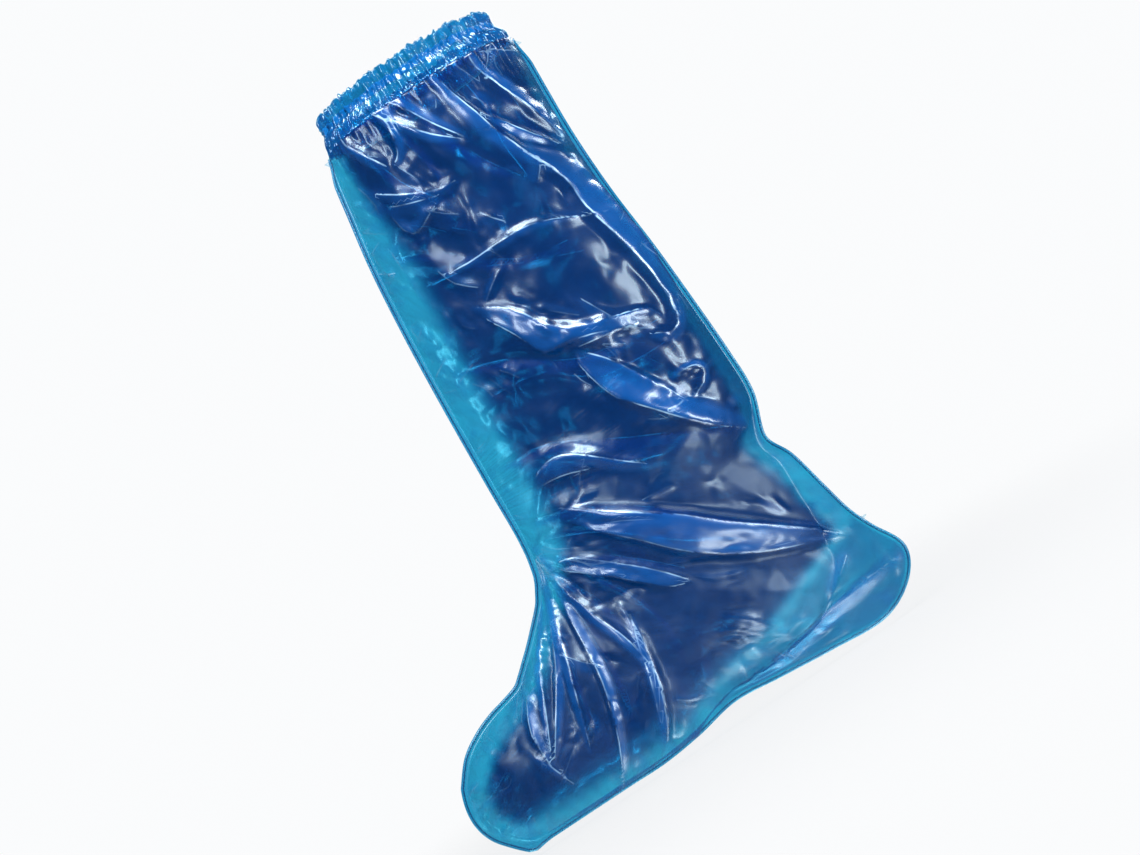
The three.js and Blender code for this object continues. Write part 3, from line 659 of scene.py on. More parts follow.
def seal_puckers():
    """Short puckers that run from the seal into the film."""
    loop = seam_loop()
    outward = outward_normals(loop)
    folds = []
    for k in rng.integers(4, len(loop) - 4, SEAL_PUCKERS):
        way = rotated(-outward[k], rng.normal(0, PUCKER_SPREAD))
        length = mix(*PUCKER_LENGTH, rng.random() ** 2)
        path = np.array([loop[k] + way * length * t for t in (0.0, 0.5, 1.0)])
        size = rng.random()
        height = mix(*PUCKER_HEIGHT, size) * rng.choice([1, -1])
        folds.append((mix(*PUCKER_WIDTH, size), height, rng.uniform(-PUCKER_LEAN, PUCKER_LEAN), path))
    return folds


def creased(places, sharp_folds):
    """How far creased film stands out at places, how folded it is, its way off a crest, and how
    strongly the painted highlight line along that crest shows."""
    folds = []
    for width, height, lean, path in sharp_folds:
        folds.append((width * MM, height * MM, lean, smooth_path(to_frame_path(path), 3)))
    small_folds = minor_folds(places) + seal_puckers()
    low, high = places.min(axis=0) - FACET_MARGIN, places.max(axis=0) + FACET_MARGIN

    def main_height(corners):
        tall = np.zeros(len(corners))
        for fold in folds:
            tall = np.maximum(tall, fold[1] * fold_shape(corners, fold)[0])
        for fold in small_folds:
            tall = tall + fold[1] * fold_shape(corners, fold)[0]
        return tall + rng.normal(0, FACETS[0][1], len(corners))

    def small_height(corners):
        return rng.normal(0, FACETS[1][1], len(corners))

    moved = np.zeros(len(places))
    for (spacing, _, count, lengths), height_at in zip(FACETS, (main_height, small_height)):
        lines = crease_paths(places, count, lengths)
        if height_at is main_height:
            for fold in folds + small_folds:
                lines += fold_lines(fold)
        moved += pulled_flat(places, scattered(low, high, spacing), lines, height_at)

    folded = np.zeros(len(places))
    off_crest = np.full(len(places), NO_CREST)
    crest_highlight = np.zeros(len(places))
    for fold in folds + small_folds:
        height = fold[1]
        _, flank, off = fold_shape(places, fold)
        if height > 0:
            folded = np.maximum(folded, flank * min(1, height / FULL_FLANK))
        nearer = np.abs(off) < np.abs(off_crest)
        off_crest = np.where(nearer, off, off_crest)
        # A painted highlight: a pale line along the crest, stronger on taller folds
        line_highlight = ease(2 - np.abs(off) / HIGHLIGHT_LINE_WIDTH) * ease(abs(height) / FULL_HIGHLIGHT_LINE)
        crest_highlight = np.where(nearer, line_highlight, crest_highlight)
    return moved, folded, off_crest, crest_highlight


def soft_waves(x, z):
    """Slow undulation of the film, so that no stretch of it is quite flat."""
    wave = np.zeros(x.shape)
    for length, height, angle, phase in SOFT_WAVES:
        run = x * math.cos(angle) + z * math.sin(angle)
        cross = z * math.cos(angle) - x * math.sin(angle)
        bend = WAVE_BEND * np.sin(cross * WAVE_BEND_RATE + phase)
        wave += height * np.sin(2 * np.pi * run / length + phase + bend)
    return wave


def softened(field):
    """The field with its sharpest steps from point to point evened out."""
    for _ in range(2):
        padded = np.pad(field, ((1, 1), (0, 0)), mode="edge")
        field = (padded[:-2] + 2 * padded[1:-1] + padded[2:]) / 4
        field = field.T
    return field


def gathers(angle, waves):
    """How far the gathered film stands out, at angles round the cuff."""
    out = np.zeros(np.shape(angle))
    for count, height, phase in waves:
        wander = sum(far * np.sin(k * angle + share * phase) for far, k, share in GATHER_WANDER)
        out += height * (1 - 2 * np.abs(np.sin((count * angle + phase) / 2 + wander)))
    return out


def sway(x, z):
    """How far the whole cover leans off its middle plane, so that the sealed edge isn't dead flat."""
    lean = sum(height * np.sin(x * in_x + z * in_z + phase) for height, in_x, in_z, phase in SWAYS)
    return lean * ease((PANEL_TOP - z) / SWAY_START)


# Meshes

def make_object(name, vertices, faces, material):
    mesh = bpy.data.meshes.new(name)
    mesh.from_pydata([tuple(v) for v in vertices], [], [tuple(f) for f in faces])
    mesh.polygons.foreach_set("use_smooth", [True] * len(mesh.polygons))
    mesh.materials.append(material)
    mesh.update()
    piece = bpy.data.objects.new(name, mesh)
    bpy.context.scene.collection.objects.link(piece)
    return piece


def set_field(piece, name, values):
    """Stores a value or a vector at each point of a piece, for its material."""
    kind, key = ("FLOAT_VECTOR", "vector") if values.ndim == 2 else ("FLOAT", "value")
    piece.data.attributes.new(name, kind, "POINT").data.foreach_set(key, values.ravel())


def thicken(piece, thickness):
    solidify = piece.modifiers.new("wall", "SOLIDIFY")
    solidify.thickness = thickness
    solidify.offset = 0
    solidify.use_even_offset = False


def seal_reach(loop):
    """How far the seal reaches out of the seam's line: less just under the hem, more at the corner."""
    place, reach, spread = TOE_CORNER
    away = np.hypot(*(loop - to_frame_path([place])).T)
    corner = reach * MM * np.maximum(0, 1 - away / (spread * MM)) ** TOE_POINT
    share, full = UNDER_HEM
    under_hem = mix(share, 1, ease((PANEL_TOP - loop[:, 1]) / full))
    return (SEAL_WIDTH * under_hem + corner)[:, None]


def outward_normals(loop):
    """The outward direction at each point of the seam's line, in the side view."""
    run = unit(np.gradient(loop, axis=0))
    normals = np.stack([run[:, 1], -run[:, 0]], axis=1)
    normals[0] = (-1, 0)
    normals[-1] = (1, 0)
    return normals


def seam_loop():
    """The seam in the side view, from the hem down the front, round the toe and up the back."""
    rows = station_rows()
    front, back = seam_points(rows)
    across = np.linspace(0, 1, COLUMNS + 1)
    x, _, z = film_surface(rows[-1:], across[None, :])
    toe = np.stack([x[0], z[0]], axis=1)
    return np.vstack([front, toe[1:-1], back[::-1]])


def base_normals(points):
    """The way that the base form faces at each of its points, off the seam plane."""
    normals = np.cross(np.gradient(points, axis=0), np.gradient(points, axis=1))
    normals = normals / np.maximum(np.linalg.norm(normals, axis=2, keepdims=True), 1e-9)
    return normals * np.where(normals[..., 1:2] < 0, -1, 1)


def folded_film(side, x, depth, z, creases, broad_folds):
    """The film's points, moved off the base form by its creases, soft folds and gathers."""
    broad = soft_waves(x, z + SIDE_SHIFT * side)
    for fold in broad_folds:
        add_broad_fold(broad, x, z, fold)
    moved = softened(creases) + BROAD_SHARE * broad
    angle = np.arctan2(side * depth / (LEG_DEPTH / 2), x / (HEM_SPAN / 2))
    moved += gathers(angle, GATHERS) * (1 - ease((PANEL_TOP - z) / GATHER_REACH))
    points = np.stack([x, depth, z], axis=2)
    steps = np.linalg.norm(np.diff(points, axis=1), axis=2)
    run = np.concatenate([np.zeros((len(points), 1)), np.cumsum(steps, axis=1)], axis=1)
    from_seam = np.minimum(run, run[:, -1:] - run)
    from_toe = np.linalg.norm(points - points[-1:], axis=2)
    limit = mix(*SEAM_RELIEF, ease(np.minimum(from_seam, from_toe) / SEAM_RELIEF_RUN))
    moved = limit * np.tanh(moved / limit)
    moved *= ease(from_seam / SEAM_FADE) * ease(from_toe / SEAM_FADE)
    sideways = ease(from_seam / SEAM_TURN)[..., None]
    ways = base_normals(points) * np.concatenate([sideways, np.ones_like(sideways), sideways], axis=2)
    points = points + ways * moved[..., None]
    points[..., 1] = np.maximum(points[..., 1], 0)
    return points


def with_flat_edge(points, side):
    """A panel's vertices and faces: its film, and round that the rings of its flat edge."""
    loop = seam_loop()
    outward = outward_normals(loop)
    vertices = [points.reshape(-1, 3)]
    for k in range(1, EDGE_STEPS + 1):
        ring = loop + outward * seal_reach(loop) * k / EDGE_STEPS
        vertices.append(np.stack([ring[:, 0], np.zeros(len(ring)), ring[:, 1]], axis=1))
    vertices = np.vstack(vertices)
    vertices[:, 1] = side * (EDGE_Y + vertices[:, 1]) + sway(vertices[:, 0], vertices[:, 2])
    vertices[:, 2] = np.minimum(vertices[:, 2], PANEL_TOP)

    last, width = len(points) - 1, COLUMNS + 1
    faces = [
        (i * width + j, (i + 1) * width + j, (i + 1) * width + j + 1, i * width + j + 1)
        for i in range(last) for j in range(COLUMNS)
    ]
    rim = [i * width for i in range(last + 1)]
    rim += [last * width + j for j in range(1, COLUMNS)]
    rim += [i * width + COLUMNS for i in range(last, -1, -1)]
    first, count = points[..., 0].size, len(rim)
    rings = [rim] + [range(first + k * count, first + (k + 1) * count) for k in range(EDGE_STEPS)]
    for inner, outer in zip(rings[:-1], rings[1:]):
        for k in range(count - 1):
            if inner[k] != inner[k + 1]:
                faces.append((outer[k], outer[k + 1], inner[k + 1], inner[k]))
    if side > 0:
        faces = [face[::-1] for face in faces]
    return vertices, faces


def film_finish(x, z, across, off_crest):
    """How far the film bags out at its points, how dull it is there, and how far it is on the foot."""
    edge = seam_loop()[None, None, ::6]
    from_edge = np.min(np.hypot(x[..., None] - edge[..., 0], z[..., None] - edge[..., 1]), axis=2)
    above_sole = z + ORIGIN_HEIGHT
    on_foot = ease((FOOT_TOP - above_sole) / FOOT_BLEND)
    in_front = ease((1 - across * 2) / 0.5) * (1 - on_foot)
    behind = ease((across * 2 - 1) / 0.5) * (1 - on_foot)
    margin = FLAT_MARGIN + (FOOT_MARGIN * on_foot + SHIN_MARGIN * in_front) * MM
    margin = margin * mix(HEM_MARGIN_SHARE, 1, ease((PANEL_TOP - z) / HEM_MARGIN_RUN))
    bagged = ease((from_edge - margin) / (margin + FLAT_MARGIN))
    bagged = np.maximum(bagged, BEHIND_BAGGED * behind)
    below, _ = beside_path(x, z, to_frame_path(HEEL_CREASE))
    past, blend = CREASE_BLEND
    bagged = bagged * np.where(on_foot > FOOT_SHARE, ease((past - below) / blend), 1)
    in_flap = on_foot * ease(below / FLAP_BLEND) * ease((x - to_frame_x(FLAP_START)) / FOOT_BLEND)
    bagged = np.maximum(bagged, FLAP_BAGGED * in_flap)
    start, blend = DULL_FROM_CREST
    dull = ease((DULL_TOP - above_sole) / DULL_BLEND)
    dull = dull * mix(DULL_AT_CREST, 1, ease((np.abs(off_crest) - start) / blend))
    return bagged, np.maximum(dull, FLAP_DULL * in_flap), on_foot


def film_panel(name, side, broad_folds, sharp_folds, material):
    """One film panel with its flat edge. side is -1 for the left one and 1 for the right one."""
    rows = station_rows()
    across = even_columns(rows)
    x, depth, z = film_surface(rows, across)
    fields = creased(np.stack([x.ravel(), z.ravel()], axis=1), sharp_folds)
    creases, folded, off_crest, crest_highlight = (field.reshape(x.shape) for field in fields)
    points = folded_film(side, x, depth, z, creases, broad_folds)
    vertices, faces = with_flat_edge(points, side)
    piece = make_object(name, vertices, faces, material)
    directions = np.zeros(vertices.shape)
    directions[:, :2] = pull_coordinates(vertices[:, 0], vertices[:, 2])
    set_field(piece, "pull", directions)
    bagged, dull, on_foot = film_finish(x, z, across, off_crest)
    for kind, field, on_edge in (
        ("bagged", bagged, 0),
        ("folded", folded, 0),
        ("off_crest", off_crest, NO_CREST),
        # The painted highlight line along the crests, weaker on the foot
        ("crest_highlight", crest_highlight * mix(1, FOOT_HIGHLIGHT_LINE, on_foot), 0),
        ("dull", dull, 0),
    ):
        values = np.full(len(vertices), float(on_edge))
        values[:field.size] = field.ravel()
        set_field(piece, kind, values)
    thicken(piece, FILM)
    return piece


# The hem and its elastic

def cuff_radii(height):
    """The cuff's half length and half depth at a height above the hem's lower edge."""
    share = height / HEM_HEIGHT
    waist = np.exp(-((height - (HEM_HEIGHT - ELASTIC_DROP)) / WAIST_REACH) ** 2) * WAIST * MM
    length = mix(HEM_SPAN, CUFF_LENGTH, share) / 2 - waist
    depth = mix(LEG_DEPTH / 2 + EDGE_Y, CUFF_DEPTH / 2, share) - waist
    return length, depth


def hem_points(angle, height, out):
    """Points of the hem at angles, heights above its lower edge and distances out of its wall."""
    length, depth = cuff_radii(height)
    normal = unit(np.stack([np.cos(angle) / length, np.sin(angle) / depth], axis=-1))
    tight = np.exp(-((height - TIGHT_PLACE) / TIGHT_REACH) ** 2)
    share, full = FINE_GATHER_FOOT
    fine = gathers(angle, FINE_GATHERS) * mix(share, 1, ease(height / full))
    reach = out + gathers(angle, GATHERS) + fine
    reach = reach + tight * (gathers(angle, TIGHT_GATHERS) - TIGHT_PULL)
    return np.stack([
        length * np.cos(angle) + normal[..., 0] * reach,
        depth * np.sin(angle) + normal[..., 1] * reach,
        PANEL_TOP + height,
    ], axis=-1)


def close_loop(name, points, material, closed_profile=False):
    """A mesh from profiles round the cuff."""
    count, width = points.shape[:2]
    spans = width if closed_profile else width - 1
    faces = [
        (i * width + j, (i + 1) % count * width + j,
         (i + 1) % count * width + (j + 1) % width, i * width + (j + 1) % width)
        for i in range(count) for j in range(spans)
    ]
    return make_object(name, points.reshape(-1, 3), faces, material)


def crumpled_hem(run, height, girth):
    """How far the crumpled film of the hem stands out, at runs round it and heights."""
    overlap = CRUMPLE_OVERLAP
    low, high = (-3 * overlap, -2 * overlap), (girth + 3 * overlap, HEM_HEIGHT + 2 * overlap)
    spots = scattered(low, high, CRUMPLE_SPACING)
    lines = []
    for _ in range(CRUMPLE_LINES):
        along = rng.uniform(low[0], high[0])
        centre = np.array([along, rng.uniform(-CRUMPLE_MARGIN, HEM_HEIGHT + CRUMPLE_MARGIN)])
        turn = rng.normal(0, CRUMPLE_SPREAD)
        way = np.array([math.sin(turn), math.cos(turn)]) * rng.uniform(*CRUMPLE_LENGTH) * MM
        lines.append(np.array([centre - way, centre + way]))

    def crumple_height(corners):
        return rng.normal(0, CRUMPLE_HEIGHT, len(corners))

    again = np.where(run < overlap, run + girth, run)
    places = np.vstack([np.stack([x.ravel(), height.ravel()], axis=1) for x in (run, again)])
    moved = pulled_flat(places, spots, lines, crumple_height)
    here, beyond = moved[:run.size].reshape(run.shape), moved[run.size:].reshape(run.shape)
    return mix(beyond, here, ease(run / overlap))


def gathered_cuff(film, rubber):
    """The gathered hem, up outside, over the top and down inside, and the flat elastic in it."""
    outside, over, inside = HEM_ROWS
    turn = np.linspace(0, np.pi, over)[1:-1]
    top = HEM_HEIGHT - HEM_CHANNEL / 2
    band = HEM_HEIGHT - ELASTIC_DROP + ELASTIC_WIDTH * np.linspace(-0.5, 0.5, BAND_ROWS)
    profile = [
        (np.linspace(0, top, outside), 0),
        (top + HEM_CHANNEL / 2 * np.sin(turn), -HEM_CHANNEL / 2 * (1 - np.cos(turn))),
        (np.linspace(top, HEM_INSIDE_LOW, inside), -HEM_CHANNEL),
        (band, -(HEM_CHANNEL - ELASTIC_THICKNESS) / 2),
        (band[::-1], -(HEM_CHANNEL + ELASTIC_THICKNESS) / 2),
    ]
    heights = np.concatenate([rise for rise, _ in profile])
    outs = np.concatenate([np.broadcast_to(out, rise.shape) for rise, out in profile])
    angles = 2 * np.pi * np.arange(HEM_COLUMNS) / HEM_COLUMNS
    angle, height = np.meshgrid(angles, heights, indexing="ij")
    far, count, phase = TOP_WAVE
    lift = 1 + far * np.sin(count * angle + phase) + TOP_RISE * gathers(angle, TOP_GATHERS)
    points = hem_points(angle, height * mix(1, lift, height / HEM_HEIGHT), outs[None, :])
    girth = math.pi * (CUFF_LENGTH + CUFF_DEPTH) / 2
    run = angle / (2 * math.pi) * girth
    crumple = crumpled_hem(run, height, girth)
    away = points - points.mean(axis=(0, 1))
    away[..., 2] = 0
    share, full = CRUMPLE_FOOT
    points = points + unit(away) * (crumple * ease(height / full + share))[..., None]
    wall = len(heights) - 2 * BAND_ROWS
    cuff = close_loop("hem_film", points[:, :wall], film)
    directions = np.stack([run, height, np.zeros(run.shape)], axis=-1)[:, :wall]
    set_field(cuff, "pull", directions.reshape(-1, 3))
    thicken(cuff, FILM)
    elastic = close_loop("elastic_band", points[:, wall:], rubber, closed_profile=True)
    return cuff, elastic


# The sealed edge

def node(tree, kind, place, feeds=(), **settings):
    """A new node. feeds holds the values of its inputs, or the sockets or nodes that feed them."""
    new = tree.nodes.new(kind)
    new.location = place
    for key, value in settings.items():
        setattr(new, key, value)
    for key, fed in dict(feeds).items():
        if isinstance(fed, bpy.types.Node):
            fed = fed.outputs[0]
        if isinstance(fed, bpy.types.NodeSocket):
            tree.links.new(fed, new.inputs[key])
        else:
            new.inputs[key].default_value = fed
    return new


def maths(tree, place, operation, *terms, **settings):
    """A calculation on its terms, in the order of the node's inputs."""
    return node(tree, "ShaderNodeMath", place, dict(enumerate(terms)), operation=operation, **settings)


def vector_maths(tree, place, operation, feeds):
    """A calculation on vectors."""
    return node(tree, "ShaderNodeVectorMath", place, feeds, operation=operation)


def mixed_colour(tree, place, share, a, b):
    """The colour that a mix gives. Its sockets for colours have these numbers among its others."""
    feeds = {"Factor": share, 6: a, 7: b}
    return node(tree, "ShaderNodeMix", place, feeds, data_type="RGBA").outputs[2]


def new_group(name, kind, inputs, outputs):
    """A node group with named inputs and outputs, and the sockets that its inputs give."""
    tree = bpy.data.node_groups.new(name, kind)
    for label, socket, value in inputs:
        made = tree.interface.new_socket(label, in_out="INPUT", socket_type="NodeSocket" + socket)
        if value is not None:
            made.default_value = value
    for label, socket in outputs:
        tree.interface.new_socket(label, in_out="OUTPUT", socket_type="NodeSocket" + socket)
    return tree, node(tree, "NodeGroupInput", (-1000, 0)).outputs


def edge_tree():
    """Runs a flat melted strip with a bead at its outer edge along a path."""
    tree, given = new_group("melted edge", "GeometryNodeTree", [
        ("Path", "Geometry", None),
        ("Strip Width", "Float", MELT_WIDTH),
        ("Strip Thickness", "Float", SEAL_THICKNESS),
        ("Bead Radius", "Float", BEAD_RADIUS),
        ("Step", "Float", 1.6 * MM),
        ("Unevenness", "Float", 0.45),
        ("Seed", "Float", 3.0),
        ("Strip Material", "Material", None),
        ("Bead Material", "Material", None),
    ], [("Geometry", "Geometry")])
    line = node(tree, "GeometryNodeMeshToCurve", (-800, 100), {"Mesh": given["Path"]})
    even = node(tree, "GeometryNodeResampleCurve", (-620, 100), {
        "Curve": line, "Length": given["Step"],
    }, mode="LENGTH")

    upright = node(tree, "GeometryNodeSetCurveNormal", (-440, 200), {
        "Curve": even, "Normal": (0, 1, 0),
    }, mode="FREE")
    strip_profile = node(tree, "GeometryNodeCurvePrimitiveQuadrilateral", (-440, 0), {
        "Width": given["Strip Thickness"], "Height": given["Strip Width"],
    })
    strip = node(tree, "GeometryNodeCurveToMesh", (-240, 200), {
        "Curve": upright, "Profile Curve": strip_profile, "Fill Caps": True,
    })

    tangent = node(tree, "GeometryNodeInputTangent", (-620, -300))
    outward = vector_maths(tree, (-440, -300), "CROSS_PRODUCT", {0: tangent, 1: (0, 1, 0)})
    half = maths(tree, (-440, -460), "MULTIPLY", given["Strip Width"], 0.5)
    shift = vector_maths(tree, (-260, -300), "SCALE", {0: outward, "Scale": half})
    moved = node(tree, "GeometryNodeSetPosition", (-80, -160), {"Geometry": even, "Offset": shift})

    noise = node(tree, "ShaderNodeTexNoise", (-80, -380), {
        "W": given["Seed"], "Scale": 160.0,
    }, noise_dimensions="4D")
    swell = maths(tree, (100, -380), "MULTIPLY_ADD", noise, given["Unevenness"], 0.7)
    bead_profile = node(tree, "GeometryNodeCurvePrimitiveCircle", (100, -160), {
        "Radius": given["Bead Radius"], "Resolution": 8,
    })
    bead = node(tree, "GeometryNodeCurveToMesh", (300, -160), {
        "Curve": moved, "Profile Curve": bead_profile, "Scale": swell, "Fill Caps": True,
    })

    join = node(tree, "GeometryNodeJoinGeometry", (760, 0))
    for made, kind, height in ((strip, "Strip Material", 200), (bead, "Bead Material", -160)):
        real = node(tree, "GeometryNodeRealizeInstances", (440, height), {"Geometry": made})
        paint = node(tree, "GeometryNodeSetMaterial", (600, height), {
            "Geometry": real, "Material": given[kind],
        })
        tree.links.new(paint.outputs["Geometry"], join.inputs["Geometry"])
    node(tree, "NodeGroupOutput", (960, 0), {"Geometry": join})
    return tree


def set_input(modifier, name, value):
    for item in modifier.node_group.interface.items_tree:
        if item.item_type == "SOCKET" and item.in_out == "INPUT" and item.name == name:
            modifier[item.identifier] = value


def tab_corners(foot, out, reach, width):
    """The corners of a pointed bit of film that sticks out of the sealed edge, front side first."""
    run = np.array([out[1], -out[0]])
    base = foot - out * reach * TAB_ROOT
    tip = foot + out * reach * (1 - TAB_ROOT) + run * width * TAB_LEAN
    corners = [base - run * width / 2, base + run * width / 2, tip]
    return [
        (x, y + float(sway(x, z)), z)
        for y in (-SEAL_THICKNESS / 2, SEAL_THICKNESS / 2) for x, z in corners
    ]


def melted_strip(path, strip_material, bead_material):
    """The mesh of the melted strip and its bead along a path in the side view."""
    mesh = bpy.data.meshes.new("seam path")
    leans = sway(path[:, 0], path[:, 1])
    vertices = [(x, lean, min(z, PANEL_TOP)) for (x, z), lean in zip(path, leans)]
    mesh.from_pydata(vertices, [(k, k + 1) for k in range(len(path) - 1)], [])
    guide = bpy.data.objects.new("seam path", mesh)
    bpy.context.scene.collection.objects.link(guide)
    modifier = guide.modifiers.new("melted edge", "NODES")
    modifier.node_group = edge_tree()
    set_input(modifier, "Strip Material", strip_material)
    set_input(modifier, "Bead Material", bead_material)
    guide.update_tag()
    bpy.context.view_layer.update()
    evaluated = guide.evaluated_get(bpy.context.evaluated_depsgraph_get())
    strip = bpy.data.meshes.new_from_object(evaluated)
    bpy.data.objects.remove(guide)
    return strip


def sealed_edge(strip_material, bead_material):
    """The strip where the panels are melted together, with its bead and its stray corners."""
    loop = seam_loop()
    outward = outward_normals(loop)
    path = loop + outward * (seal_reach(loop) - MELT_WIDTH / 2)
    strip = melted_strip(path, strip_material, bead_material)
    vertices = [v.co.copy() for v in strip.vertices]
    faces = [tuple(p.vertices) for p in strip.polygons]
    finishes = [p.material_index for p in strip.polygons]
    outer = loop + outward * seal_reach(loop)
    down = np.arange(STATIONS + 1)
    edges = {"front": down, "back": len(loop) - 1 - down}
    for edge, distance, reach, width in TABS:
        run = run_along(loop[edges[edge]])
        k = edges[edge][min(np.searchsorted(run, distance * MM), STATIONS)]
        first = len(vertices)
        faces += [tuple(first + corner for corner in face) for face in TAB_FACES]
        vertices += tab_corners(outer[k], outward[k], reach * MM, width * MM)
    piece = make_object("melted_edge", vertices, faces, strip.materials[0])
    piece.data.materials.append(strip.materials[1])
    finishes += [1] * (len(faces) - len(finishes))
    piece.data.polygons.foreach_set("material_index", finishes)
    return piece


# Materials

CRINKLE_BEND = (0.008, 0.008, 0.008)  # how far ripples bend the crinkles
CRINKLE_STRETCH = (1, 0.22, 1)  # draws them out along the film's pull
CRINKLE_DEPTH = 1.2 * MM
DUST = 0.12  # how pale the film is in its clouds
DUST_ROUGHNESS = 0.08
# The painted highlight line along a crest also makes the film more opaque there
HIGHLIGHT_MILK = 1.6  # how much of the light a crest's pale line stops
CRINKLE_MILK = 0.7
MILK_SHARE = 0.22
DULL_ROUGHNESS = 0.17
COAT = 0.8
DULL_COAT = -0.55
ELASTIC_TONES = ((0.0, 0.13, 0.4, 1), (0.0, 0.2, 0.5, 1))
RIB_DEPTH = 0.2 * MM


def crinkle_group():
    """Fine crinkles of thin film, as a height."""
    tree, given = new_group("film crinkle", "ShaderNodeTree", [
        ("Vector", "Vector", None),
        ("Size", "Float", 1.0),
        ("Facets", "Float", 0.5),
    ], [("Height", "Float")])
    scaled = vector_maths(tree, (-700, 0), "SCALE", {0: given["Vector"], "Scale": given["Size"]})
    ripple = node(tree, "ShaderNodeTexNoise", (-500, -220), {
        "Vector": scaled, "Scale": 150.0, "Detail": 2.0,
    })
    bent = vector_maths(tree, (-320, -60), "MULTIPLY_ADD", {
        0: ripple.outputs["Color"], 1: CRINKLE_BEND, 2: scaled,
    })
    facets = node(tree, "ShaderNodeTexVoronoi", (-140, 60), {"Vector": bent, "Scale": 110.0})
    blend = node(tree, "ShaderNodeMix", (80, 0), {
        "Factor": given["Facets"], "A": ripple, "B": facets.outputs["Distance"],
    })
    node(tree, "NodeGroupOutput", (260, 0), {"Height": blend})
    return tree


def clouds_and_highlight_group():
    """Where film is pale from folds and rubbing, where a painted highlight lies as a pale line along
    each crest, and how glossy it is there.
    """
    tree, given = new_group("film clouds and highlight", "ShaderNodeTree", [
        ("Vector", "Vector", None),
        ("Tone", "Color", (0.0, 0.1, 0.4, 1)),
        ("Pale Tone", "Color", (0.05, 0.3, 0.6, 1)),
        ("Folded", "Float", 0.0),
        ("Off Crest", "Float", NO_CREST),
        ("Highlight Strength", "Float", 0.0),
        # The colour of the painted highlight line along the crests
        ("Highlight Tone", "Color", (0.55, 0.78, 0.95, 1)),
        ("Highlight Width", "Float", 0.75 * MM),
        ("Gloss", "Float", 0.1),
    ], [("Color", "Color"), ("Roughness", "Float"), ("Milk", "Float")])
    clouds_and_highlight = node(tree, "ShaderNodeTexNoise", (-700, 60), {
        "Vector": given["Vector"], "Scale": 34.0, "Detail": 3.0,
    })
    spread = node(tree, "ShaderNodeMapRange", (-520, 60), {
        "Value": clouds_and_highlight, "From Min": 0.42, "From Max": 0.62,
    })
    dusty = maths(tree, (-340, 60), "MULTIPLY_ADD", spread, DUST, given["Folded"], use_clamp=True)
    # A painted highlight: a pale line along each crest, broken into dashes by the clouds
    way = maths(tree, (-880, -200), "ABSOLUTE", given["Off Crest"])
    near = maths(tree, (-700, -200), "DIVIDE", way, given["Highlight Width"])
    line = node(tree, "ShaderNodeMapRange", (-520, -200), {
        "Value": near, "From Min": 1.0, "From Max": 0.2,
    }, interpolation_type="SMOOTHSTEP")
    gate = maths(tree, (-340, -260), "MULTIPLY", line, given["Highlight Strength"])
    broken_highlight = maths(tree, (-160, -200), "MULTIPLY", gate, spread)
    tone = mixed_colour(tree, (-120, 160), dusty, given["Tone"], given["Pale Tone"])
    # The colour and the milk carry the painted highlight line as well as the haze
    node(tree, "NodeGroupOutput", (240, 0), {
        "Color": mixed_colour(tree, (60, 160), broken_highlight, tone, given["Highlight Tone"]),
        "Roughness": maths(tree, (40, -160), "MULTIPLY_ADD", spread, DUST_ROUGHNESS, given["Gloss"]),
        "Milk": maths(tree, (60, 0), "MULTIPLY_ADD", broken_highlight, HIGHLIGHT_MILK, dusty),
    })
    return tree


def emptied(block):
    """The node tree of a new material or world, without the nodes that it comes with."""
    block.use_nodes = True
    block.node_tree.nodes.clear()
    return block.node_tree


